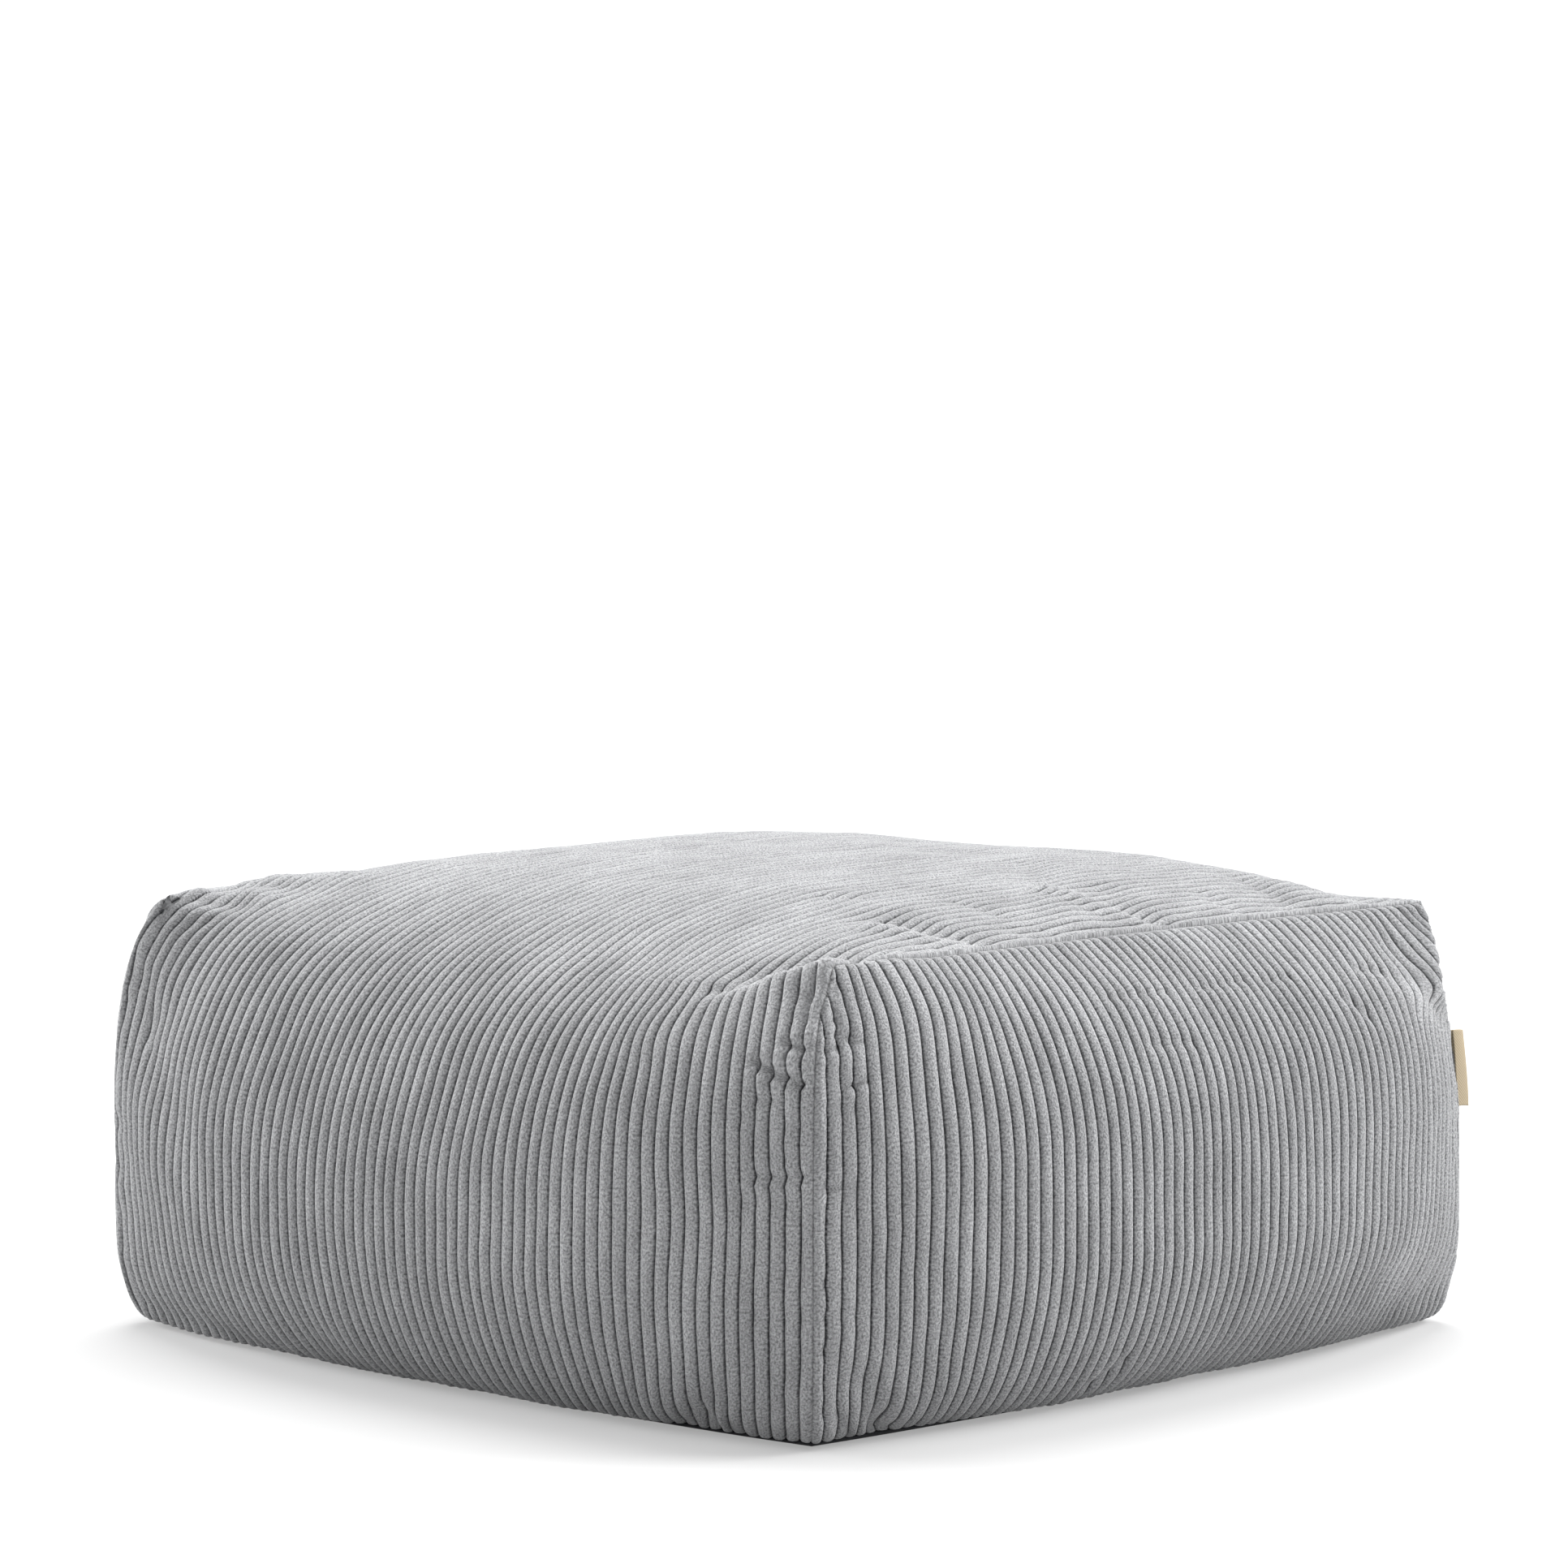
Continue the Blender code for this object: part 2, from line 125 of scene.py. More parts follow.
# The large folds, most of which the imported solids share.
MAIN_FOLDS = (
    # The pinched ear over the near corner, and the top's dips behind it.
    Crease(WRAP, 0.280, 0.318, 0.318, 0.324, 0.014, 0.003),
    Crease(WRAP, 0.245, 0.338, 0.305, 0.366, 0.018, -0.006),
    Crease(WRAP, 0.265, 0.405, 0.280, 0.440, 0.030, 0.004),
    Crease(WRAP, 0.300, 0.455, 0.245, 0.475, 0.020, -0.004),
    Crease(WRAP, 0.300, 0.600, 0.260, 0.620, 0.018, 0.003),
    Crease(WRAP, 0.312, 0.655, 0.240, 0.690, 0.018, -0.004),
    Crease(WRAP, 0.300, 0.800, 0.230, 0.840, 0.020, -0.003),
    Crease(WRAP, 0.305, 0.900, 0.250, 0.890, 0.018, -0.004),
    # The far left corner's hollow and small rolls.
    Crease(WRAP, -0.292, 0.350, -0.268, 0.352, 0.014, -0.0035),
    Crease(WRAP, -0.275, 0.372, -0.255, 0.364, 0.014, 0.004),
    Crease(WRAP, -0.300, 0.420, -0.225, 0.420, 0.020, 0.003),
    Crease(WRAP, -0.305, 0.250, -0.220, 0.180, 0.026, -0.0025),
    # The fuller back roll, and slack folds on the sides that face away.
    Crease(WRAP, 0.080, 0.870, 0.250, 0.865, 0.050, 0.005),
    Crease(WRAP, -0.290, 0.900, -0.230, 0.880, 0.020, -0.005),
    Crease(WRAP, -0.290, 1.120, -0.190, 1.070, 0.022, -0.004),
    Crease(WRAP, 0.290, 1.060, 0.215, 1.100, 0.020, -0.004),
    # Slack low on the near face, and the tucks by the near corner.
    Crease(WRAP, 0.250, 0.045, 0.225, 0.020, 0.014, -0.003),
    Crease(RIGHT, -0.285, 0.064, -0.265, 0.021, 0.012, -0.0030),
    Crease(RIGHT, 0.020, 0.031, 0.130, 0.080, 0.018, -0.0020),
    Crease(RIGHT, 0.250, 0.311, 0.285, 0.263, 0.016, -0.0030),
    Crease(LEFT, -0.080, 0.035, 0.060, 0.070, 0.020, -0.004),
    Crease(LEFT, 0.230, 0.270, 0.280, 0.200, 0.020, -0.004),
)

# The small puckers and tucks, too fine for the solids.
SMALL_CREASES = (
    # Puckers down the near seam, on the front.
    Crease(WRAP, 0.309, 0.303, 0.312, 0.290, 0.0030, -0.0040, 0.0006),
    Crease(WRAP, 0.300, 0.275, 0.314, 0.270, 0.0030, -0.0052, 0.0002),
    Crease(WRAP, 0.300, 0.283, 0.312, 0.280, 0.0050, 0.0012),
    Crease(WRAP, 0.298, 0.265, 0.312, 0.261, 0.0048, 0.0016),
    Crease(WRAP, 0.279, 0.263, 0.290, 0.258, 0.0028, -0.0050, 0.0002),
    Crease(WRAP, 0.290, 0.257, 0.314, 0.249, 0.0030, -0.0056, 0.0002),
    Crease(WRAP, 0.284, 0.252, 0.312, 0.243, 0.0045, 0.0016),
    Crease(WRAP, 0.282, 0.238, 0.300, 0.238, 0.0035, -0.0022),
    Crease(WRAP, 0.272, 0.227, 0.284, 0.226, 0.0035, -0.0020),
    Crease(WRAP, 0.284, 0.192, 0.314, 0.190, 0.0034, -0.0032, 0.0008),
    Crease(WRAP, 0.284, 0.185, 0.314, 0.183, 0.0048, 0.0012),
    Crease(WRAP, 0.278, 0.176, 0.312, 0.176, 0.0055, -0.0018),
    Crease(WRAP, 0.302, 0.134, 0.311, 0.134, 0.0035, -0.0012),
    Crease(WRAP, 0.290, 0.104, 0.313, 0.103, 0.0055, -0.0014),
    Crease(WRAP, 0.298, 0.085, 0.314, 0.084, 0.0045, -0.0016),
    # Puckers down the near seam, on the right end.
    Crease(RIGHT, -0.319, 0.306, -0.315, 0.300, 0.0030, -0.0045, 0.0008),
    Crease(RIGHT, -0.314, 0.334, -0.311, 0.328, 0.0032, -0.0045),
    Crease(RIGHT, -0.319, 0.289, -0.303, 0.288, 0.0038, -0.0036, 0.0008),
    Crease(RIGHT, -0.303, 0.297, -0.288, 0.288, 0.0036, -0.0034),
    Crease(RIGHT, -0.312, 0.307, -0.304, 0.308, 0.0030, -0.0022),
    Crease(RIGHT, -0.314, 0.281, -0.294, 0.278, 0.0055, 0.0014),
    Crease(RIGHT, -0.296, 0.258, -0.287, 0.259, 0.0026, -0.0036),
    Crease(RIGHT, -0.296, 0.253, -0.287, 0.254, 0.0040, 0.0010),
    Crease(RIGHT, -0.306, 0.245, -0.292, 0.243, 0.0045, -0.0012),
    Crease(RIGHT, -0.315, 0.197, -0.305, 0.193, 0.0030, -0.0034, 0.0008),
    Crease(RIGHT, -0.312, 0.189, -0.304, 0.187, 0.0045, 0.0010),
    Crease(RIGHT, -0.320, 0.134, -0.310, 0.132, 0.0035, -0.0018),
    Crease(RIGHT, -0.318, 0.110, -0.291, 0.108, 0.0060, -0.0014),
    Crease(RIGHT, -0.320, 0.088, -0.308, 0.086, 0.0040, -0.0020),
    # The crease right behind the ear's lip.
    Crease(WRAP, 0.228, 0.318, 0.262, 0.334, 0.008, -0.0045),
    Crease(WRAP, 0.262, 0.334, 0.312, 0.352, 0.009, -0.0060),
    # Short notches across the right end, high up, and a fold low down.
    Crease(RIGHT, -0.080, 0.289, -0.020, 0.287, 0.0028, -0.0012),
    Crease(RIGHT, 0.010, 0.288, 0.060, 0.290, 0.0026, -0.0012),
    Crease(RIGHT, 0.078, 0.287, 0.104, 0.289, 0.0028, -0.0012),
    Crease(RIGHT, 0.184, 0.291, 0.212, 0.287, 0.0030, -0.0014),
    Crease(RIGHT, -0.060, 0.252, -0.022, 0.249, 0.0040, -0.0014),
    Crease(RIGHT, 0.150, 0.270, 0.170, 0.252, 0.0045, -0.0018),
    Crease(RIGHT, 0.222, 0.282, 0.290, 0.280, 0.0080, -0.0014),
    Crease(RIGHT, -0.100, 0.035, -0.080, 0.055, 0.0060, -0.0022),
    # Tucks at the foot of the near corner.
    Crease(RIGHT, -0.300, 0.036, -0.290, 0.016, 0.008, -0.0022, 0.0030),
    Crease(RIGHT, -0.268, 0.031, -0.262, 0.014, 0.008, -0.0020, -0.0030),
    Crease(RIGHT, -0.245, 0.027, -0.238, 0.012, 0.007, -0.0016, 0.0018),
    Crease(WRAP, 0.238, 0.034, 0.248, 0.018, 0.006, -0.0026, 0.0014),
    Crease(WRAP, 0.262, 0.026, 0.268, 0.012, 0.006, -0.0018, -0.0010),
    # The far left corner: a pinch, the ribs drawn in below it, and bumps behind.
    Crease(WRAP, -0.270, 0.324, -0.286, 0.312, 0.008, -0.0016),
    Crease(WRAP, -0.300, 0.262, -0.272, 0.236, 0.012, -0.0016),
    Crease(WRAP, -0.284, 0.238, -0.270, 0.220, 0.006, -0.0018),
    Crease(WRAP, -0.318, 0.352, -0.296, 0.356, 0.008, 0.0030),
    Crease(WRAP, -0.314, 0.392, -0.286, 0.398, 0.008, 0.0024),
    Crease(WRAP, -0.300, 0.412, -0.262, 0.406, 0.009, 0.0024),
    Crease(WRAP, -0.290, 0.446, -0.240, 0.432, 0.011, 0.0018),
    Crease(WRAP, -0.250, 0.500, -0.210, 0.480, 0.022, 0.0020),
    # The fold that stands up behind the ear, and the trough behind that.
    Crease(WRAP, 0.258, 0.444, 0.308, 0.458, 0.013, 0.0052),
    Crease(WRAP, 0.244, 0.474, 0.312, 0.490, 0.009, -0.0040),
    # A second fold and trough, further in from the right top seam.
    Crease(WRAP, 0.235, 0.644, 0.310, 0.650, 0.011, 0.0048),
    Crease(WRAP, 0.215, 0.662, 0.312, 0.670, 0.008, -0.0034),
    Crease(WRAP, 0.140, 0.720, 0.200, 0.672, 0.016, -0.0024),
    Crease(WRAP, 0.230, 0.555, 0.272, 0.556, 0.008, -0.0016),
    Crease(WRAP, 0.168, 0.496, 0.186, 0.510, 0.007, -0.0022),
    Crease(WRAP, 0.240, 0.840, 0.306, 0.812, 0.010, -0.0026),
    Crease(WRAP, 0.270, 0.762, 0.308, 0.752, 0.009, -0.0022),
)
ALL_CREASES = MAIN_FOLDS + SMALL_CREASES


@dataclass(frozen=True)
class Drift:
    """A stretch of cloth whose ribs have slid sideways.

    Attributes:
        across, along: Its middle, measured as a crease's places are.
        reach_across, reach_along: How far from its middle it fades out.
        slide: How far its ribs have slid across the panel.
    """

    across: float
    along: float
    reach_across: float
    reach_along: float
    slide: float


@dataclass(frozen=True)
class RibPaths:
    """Where a panel's ribs run, as slides from where they would lie if evenly spread.

    Attributes:
        spread: Places across the panel, each with the slide that it has all along.
        drifts: Where the ribs have slid further.
    """

    spread: tuple
    drifts: tuple

    def at(self, across: np.ndarray, along: np.ndarray) -> np.ndarray:
        """The slides over a grid of ribs and rows.

        Args:
            across: Where the ribs stand, in metres from the panel's middle.
            along: Where the rows lie, in metres from the panel's lower edge.

        Returns:
            A slide for each rib and row.
        """
        places, slides = zip(*self.spread)
        slid = np.interp(across, places, slides)[:, None] + 0 * along
        for drift in self.drifts:
            off_across = (across[:, None] - drift.across) / drift.reach_across
            off_along = (along - drift.along) / drift.reach_along
            slid += drift.slide * np.exp(-(off_across**2) - off_along**2)
        return slid


WRAP_PATHS = RibPaths(
    (
        (-0.30, 0.015),
        (-0.20, 0.017),
        (-0.12, 0.017),
        (-0.04, 0.012),
        (0.04, 0.006),
        (0.12, 0.001),
        (0.20, -0.005),
        (0.26, -0.008),
        (0.30, -0.009),
    ),
    (
        # Over the front's shoulder, where the slack of the top gathers.
        Drift(-0.170, 0.240, 0.090, 0.040, 0.007),
        Drift(0.020, 0.225, 0.060, 0.030, 0.004),
        Drift(0.120, 0.335, 0.060, 0.035, 0.007),
        Drift(0.205, 0.280, 0.035, 0.022, -0.007),
        Drift(0.265, 0.320, 0.035, 0.040, -0.005),
        # Drawn in and out below the left corner.
        Drift(-0.290, 0.320, 0.050, 0.016, 0.004),
        Drift(-0.290, 0.280, 0.030, 0.018, -0.007),
        Drift(-0.285, 0.225, 0.030, 0.014, 0.009),
        Drift(-0.275, 0.155, 0.030, 0.022, -0.006),
        Drift(-0.300, 0.090, 0.030, 0.035, 0.006),
        # The fuller belly by the near corner.
        Drift(0.240, 0.160, 0.060, 0.065, 0.007),
        # Down at the foot.
        Drift(-0.235, 0.035, 0.025, 0.020, 0.004),
        Drift(-0.120, 0.030, 0.040, 0.030, 0.006),
        Drift(0.210, 0.035, 0.030, 0.025, -0.004),
        Drift(0.260, 0.030, 0.040, 0.025, -0.004),
    ),
)
RIGHT_PATHS = RibPaths(
    (
        (-0.32, 0.0075),
        (-0.28, 0.002),
        (-0.26, 0.0),
        (-0.20, -0.0025),
        (-0.12, -0.005),
        (-0.04, -0.008),
        (0.04, -0.013),
        (0.12, -0.016),
        (0.20, -0.0145),
        (0.31, -0.014),
    ),
    (
        # The far top corner, where the ribs swing out to the seam.
        Drift(0.320, 0.292, 0.038, 0.030, 0.058),
        Drift(0.275, 0.277, 0.025, 0.018, 0.038),
        Drift(0.240, 0.270, 0.022, 0.035, 0.004),
        # The upper middle, and the near top corner, where they fan out.
        Drift(0.120, 0.305, 0.090, 0.040, -0.0065),
        Drift(-0.320, 0.352, 0.055, 0.034, -0.027),
        Drift(-0.230, 0.300, 0.050, 0.035, 0.006),
        # The far foot, where they swing in under the belly.
        Drift(0.290, 0.048, 0.110, 0.027, -0.026),
        Drift(0.215, 0.075, 0.030, 0.016, -0.010),
        Drift(0.300, 0.008, 0.070, 0.020, -0.008),
        # The near foot.
        Drift(-0.250, 0.045, 0.035, 0.030, 0.004),
    ),
)
LEFT_PATHS = RibPaths(
    ((-0.30, 0.002), (-0.15, 0.001), (0.0, -0.003), (0.15, -0.007), (0.30, -0.007)),
    (Drift(-0.300, 0.270, 0.050, 0.040, 0.002), Drift(0.150, 0.280, 0.060, 0.050, -0.002)),
)


# ---- Finishes ------------------------------------------------------------------


@dataclass(frozen=True)
class CorduroyFinish:
    """Wide-wale corduroy: a plush pile on each rib, and shade painted into the valleys between.

    Attributes:
        name, slot: Of the material, and of the slot that it belongs to.
        pile: The pile's colour on the crest of a rib.
        valley_shade: The painted shade down in a valley: a dark colour that stands for the shadow
            there.
        valley: Half the width of a valley, in ribs.
        valley_core: The share of that which is painted shade alone.
        fuzz: How far the pile strays over a valley's edge, in ribs.
        tuft: The size of a tuft of the pile, in ribs.
        tuft_noise: Lumps of noise to a tuft, in its height and in how it strays.
        tuft_height: How far tufts stand up, in metres.
        stray_height: How far strays add to that, as a share.
        relief: How strongly tufts catch the light.
        tuft_run: How close tufts stand across and along a rib.
        patch_run, brushed_run: How close worn patches and brushed streaks stand.
        tone: How light the cloth is at the least, and how much its patches and its
            brushed streaks add.
        fleck: The tuft height at which flecks start, and their contrast, strength
            and least lightness.
        roughness, gloss, sheen, sheen_roughness: How it throws light back.
    """

    name: str = "grey_corduroy"
    slot: str = "corduroy"
    pile: tuple = (0.300, 0.303, 0.311)
    # Painted shade: the dark colour of the valleys between the ribs.
    valley_shade: tuple = (0.050, 0.051, 0.055)
    valley: float = 0.085
    valley_core: float = 0.3
    fuzz: float = 0.05
    tuft: float = 0.10
    tuft_noise: tuple = (0.75, 0.6)
    tuft_height: float = 0.0012
    stray_height: float = 0.5
    relief: float = 0.8
    tuft_run: tuple = (1.0, 0.8, 1.0)
    patch_run: tuple = (0.22, 0.10, 1.0)
    brushed_run: tuple = (0.9, 0.25, 1.0)
    tone: tuple = (0.47, 0.50, 0.56)
    fleck: tuple = (0.34, 3.1, 0.96, 0.52)
    roughness: float = 0.95
    gloss: float = 0.12
    sheen: float = 0.25
    sheen_roughness: float = 0.45


@dataclass(frozen=True)
class BaseClothFinish:
    """A plain, tightly woven dark cloth.

    Attributes:
        name, slot: Of the material, and of the slot that it belongs to.
        colour: Its colour.
        thread: From one thread to the next.
        waver: How far its threads waver.
        wear_noise: Lumps of wear to a metre.
        relief: How strongly its threads catch the light.
        tone: How light it is at the least, and how much its threads and wear add.
        roughness, gloss: How it throws light back.
    """

    name: str = "charcoal_base_cloth"
    slot: str = "base_cloth"
    colour: tuple = (0.020, 0.021, 0.024)
    thread: float = 0.0009
    waver: float = 0.3
    wear_noise: float = 9.0
    relief: float = 0.6
    tone: tuple = (0.7, 0.5, 0.35)
    roughness: float = 0.85
    gloss: float = 0.2


@dataclass(frozen=True)
class TapeFinish:
    """Natural cotton tape with a fine twill weave.

    Attributes:
        name, slot: Of the material, and of the slot that it belongs to.
        colour: Its colour.
        shade: The colour between its threads.
        thread: From one thread to the next.
        waver: How far its threads waver.
        fibre_noise: Lumps of fibre to a thread.
        fibre_height: How far those add to the height of the threads, as a share.
        soil_noise: Lumps of soil to a metre.
        relief: How strongly its threads catch the light.
        tone: How light it is at the least, and how much its fibres and soil add.
        roughness, gloss: How it throws light back.
    """

    name: str = "natural_label_tape"
    slot: str = "label_tape"
    colour: tuple = (0.43, 0.36, 0.255)
    shade: tuple = (0.33, 0.27, 0.185)
    thread: float = 0.0008
    waver: float = 0.6
    fibre_noise: float = 1.1
    fibre_height: float = 0.6
    soil_noise: float = 60.0
    relief: float = 0.7
    tone: tuple = (0.86, 0.22, 0.10)
    roughness: float = 0.9
    gloss: float = 0.2


# ---- Shader building -------------------------------------------------------------


class Value:
    """A number in a shader. Arithmetic on it adds Math nodes."""

    def __init__(self, shader: "Shader", socket: bpy.types.NodeSocket) -> None:
        """Wraps an output socket of one of the shader's nodes."""
        self.shader = shader
        self.socket = socket

    def math(self, operation: str, *others: "Value | float") -> "Value":
        """Adds a Math node that starts from this value.

        Args:
            operation: The Math node's operation.
            *others: Its other inputs.

        Returns:
            The node's result.
        """
        return self.shader.maths(operation, self, *others)

    def __add__(self, other: "Value | float") -> "Value":
        """The sum."""
        return self.math("ADD", other)

    __radd__ = __add__

    def __mul__(self, other: "Value | float") -> "Value":
        """The product."""
        return self.math("MULTIPLY", other)

    def __sub__(self, other: "Value | float") -> "Value":
        """This value less another."""
        return self.math("SUBTRACT", other)

    def __rsub__(self, other: "Value | float") -> "Value":
        """Another value less this one."""
        return self.shader.maths("SUBTRACT", other, self)

    def __truediv__(self, other: "Value | float") -> "Value":
        """The quotient."""
        return self.math("DIVIDE", other)

    def clamped(self) -> "Value":
        """The value, kept from 0 to 1."""
        return self.math("MAXIMUM", 0.0).math("MINIMUM", 1.0)


class Shader:
    """One material and its nodes."""

    def __init__(self, name: str) -> None:
        """Makes the material, with nothing in it but its output.

        Args:
            name: Its name.
        """
        self.material = bpy.data.materials.new(name)
        self.material.use_nodes = True
        self.tree = self.material.node_tree
        self.tree.nodes.clear()
        self.out = self.tree.nodes.new("ShaderNodeOutputMaterial")

    def node(
        self,
        kind: str,
        settings: dict | None = None,
        inputs: dict | None = None,
        output: str | int = 0,
    ) -> Value:
        """Adds a node.

        Args:
            kind: The node's type.
            settings: Attributes to set on it before its sockets are filled.
            inputs: Values or links for its sockets, by name or number.
            output: The output to hand back.

        Returns:
            That output.
        """
        made = self.tree.nodes.new(kind)
        for key, setting in (settings or {}).items():
            setattr(made, key, setting)
        for key, given in (inputs or {}).items():
            if isinstance(given, Value):
                self.tree.links.new(given.socket, made.inputs[key])
            else:
                made.inputs[key].default_value = given
        return Value(self, made.outputs[output])

    def maths(self, operation: str, *terms: Value | float) -> Value:
        """Adds a Math node.

        Args:
            operation: The node's operation.
            *terms: Its inputs, in order.

        Returns:
            Its result.
        """
        return self.node("ShaderNodeMath", {"operation": operation}, dict(enumerate(terms)))

    def mix(self, share: Value, first: tuple, second: tuple) -> Value:
        """Mixes two colours.

        Args:
            share: How much of the second there is.
            first: The colour at a share of 0.
            second: The colour at a share of 1.

        Returns:
            The mixed colour.
        """
        settings = {"data_type": "RGBA"}
        return self.node("ShaderNodeMix", settings, {0: share, 6: first, 7: second}, 2)

    def shaded(self, colour: Value | tuple, amount: Value) -> Value:
        """A colour made lighter or darker by a factor."""
        inputs = {"Vector": colour, "Scale": amount}
        return self.node("ShaderNodeVectorMath", {"operation": "SCALE"}, inputs)

    def noise(self, place: Value, scale: float, detail: float = 2.0) -> Value:
        """Soft noise from 0 to 1 over a place, with this many lumps to a unit."""
        inputs = {"Vector": place, "Scale": scale, "Detail": detail, "Roughness": 0.6}
        return self.node("ShaderNodeTexNoise", None, inputs)

    def stretched(self, place: Value, scale: tuple) -> Value:
        """A place whose axes are scaled apart, so that a pattern on it is drawn out."""
        return self.node("ShaderNodeMapping", None, {"Vector": place, "Scale": scale})

    def surface(self, inputs: dict) -> bpy.types.Material:
        """Ends the material in a Principled BSDF.

        Args:
            inputs: Values or links for the shader's sockets.

        Returns:
            The finished material.
        """
        bsdf = self.node("ShaderNodeBsdfPrincipled", None, inputs)
        self.tree.links.new(bsdf.socket, self.out.inputs["Surface"])
        return self.material


def opaque(colour: tuple) -> tuple:
    """A colour with an alpha of 1."""
    return (*colour, 1.0)


def corduroy_material(finish: CorduroyFinish) -> bpy.types.Material:
    """The corduroy: pile on the ribs, worn patches, and shade painted into its fuzzy valleys.

    Args:
        finish: Its colours and sizes. The map's X counts ribs, and its Y runs
            along them in rib widths.

    Returns:
        The material.
    """
    shader = Shader(finish.name)
    cloth = shader.node("ShaderNodeUVMap", {"uv_map": "cloth"})
    ribs = shader.node("ShaderNodeSeparateXYZ", None, {0: cloth}, "X")
    raised, strayed = finish.tuft_noise
    tufts = shader.noise(shader.stretched(cloth, finish.tuft_run), raised / finish.tuft, 3.0)
    strays = shader.noise(cloth, strayed / finish.tuft)
    off_valley = CREST - ((ribs.math("FRACT") - CREST).math("ABSOLUTE"))
    edge = off_valley + (strays - 0.5) * (2 * finish.fuzz)
    # How far each place lies in a valley's painted shade.
    valley = (1 - (edge - finish.valley * finish.valley_core) / finish.valley).clamped()
    patches = shader.noise(shader.stretched(cloth, finish.patch_run), 1.0, 2.0)
    brushed = shader.noise(shader.stretched(cloth, finish.brushed_run), 1.0, 3.0)
    least, worn, streaked = finish.tone
    tone = least + patches * worn + brushed * streaked
    start, contrast, strength, darkest = finish.fleck
    flecks = ((tufts - start) * contrast).clamped() * strength + darkest
    # Painted shade: the pile's colour goes dark down in the valleys.
    colour = shader.mix(valley, opaque(finish.pile), opaque(finish.valley_shade))
    colour = shader.shaded(colour, tone * flecks)
    height = tufts + strays * finish.stray_height
    bump = {"Height": height, "Distance": finish.tuft_height, "Strength": finish.relief}
    return shader.surface(
        {
            "Base Color": colour,
            "Roughness": finish.roughness,
            "Specular IOR Level": finish.gloss,
            "Sheen Weight": finish.sheen,
            "Sheen Roughness": finish.sheen_roughness,
            "Normal": shader.node("ShaderNodeBump", None, bump),
        }
    )


def woven_material(finish: BaseClothFinish) -> bpy.types.Material:
    """A dark plain weave on Object coordinates.

    Args:
        finish: Its colour and thread size.

    Returns:
        The material.
    """
    shader = Shader(finish.name)
    place = shader.node("ShaderNodeTexCoord", None, None, "Object")
    waves = []
    for direction in ("X", "Y"):
        settings = {"wave_type": "BANDS", "bands_direction": direction}
        inputs = {"Vector": place, "Scale": BANDS_REPEAT / finish.thread}
        inputs["Distortion"] = finish.waver
        waves.append(shader.node("ShaderNodeTexWave", settings, inputs, "Fac"))
    weave = waves[0] * waves[1]
    wear = shader.noise(place, finish.wear_noise, 3.0)
    least, raised, worn = finish.tone
    amount = least + weave * raised + wear * worn
    bump = {"Height": weave, "Distance": finish.thread / 3, "Strength": finish.relief}
    return shader.surface(
        {
            "Base Color": shader.shaded(finish.colour, amount),
            "Roughness": finish.roughness,
            "Specular IOR Level": finish.gloss,
            "Normal": shader.node("ShaderNodeBump", None, bump),
        }
    )


def tape_material(finish: TapeFinish) -> bpy.types.Material:
    """Bare cotton tape, woven in narrow diagonal bands.

    Args:
        finish: Its colours and thread size. The map is in metres.

    Returns:
        The material.
    """
    shader = Shader(finish.name)
    place = shader.node("ShaderNodeUVMap", {"uv_map": "cloth"})
    settings = {"wave_type": "BANDS", "bands_direction": "DIAGONAL"}
    inputs = {"Vector": place, "Scale": DIAGONAL_REPEAT / finish.thread}
    inputs["Distortion"] = finish.waver
    twill = shader.node("ShaderNodeTexWave", settings, inputs, "Fac")
    fibres = shader.noise(place, finish.fibre_noise / finish.thread, 3.0)
    soil = shader.noise(place, finish.soil_noise)
    least, fibrous, soiled = finish.tone
    amount = least + fibres * fibrous + soil * soiled
    colour = shader.mix(1 - twill, opaque(finish.colour), opaque(finish.shade))
    height = twill + fibres * finish.fibre_height
    bump = {"Height": height, "Distance": finish.thread / 4, "Strength": finish.relief}
    return shader.surface(
        {
            "Base Color": shader.shaded(colour, amount),
            "Roughness": finish.roughness,
            "Specular IOR Level": finish.gloss,
            "Normal": shader.node("ShaderNodeBump", None, bump),
        }
    )


# ---- Curves ------------------------------------------------------------------------


def lengths(curve: np.ndarray) -> np.ndarray:
    """The distance along a curve to each of its points."""
    steps = np.linalg.norm(np.diff(curve, axis=0), axis=1)
    return np.concatenate([[0], np.cumsum(steps)])


def at_fractions(curve: np.ndarray, fractions: np.ndarray) -> np.ndarray:
    """The points that lie at some fractions of a curve's length.

    Args:
        curve: Points along it.
        fractions: The fractions, from 0 to 1.

    Returns:
        A point for each.
    """
    travelled = lengths(curve)
    wanted = np.asarray(fractions) * travelled[-1]
    return np.stack([np.interp(wanted, travelled, axis) for axis in curve.T], axis=-1)


def unit(vectors: np.ndarray) -> np.ndarray:
    """Vectors at a length of 1. Those of no length stay so."""
    size = np.linalg.norm(vectors, axis=-1, keepdims=True)
    return vectors / np.maximum(size, NO_LENGTH)


def smooth_step(share: np.ndarray) -> np.ndarray:
    """0 below 0 and 1 above 1, with a soft rise between."""
    share = np.clip(share, 0, 1)
    return share * share * (3 - 2 * share)


def rounded(share: np.ndarray) -> np.ndarray:
    """0 at 0 and 1 from 1 on, with a rise between like a quarter circle."""
    return np.sqrt(1 - (1 - np.clip(share, 0, 1)) ** 2)


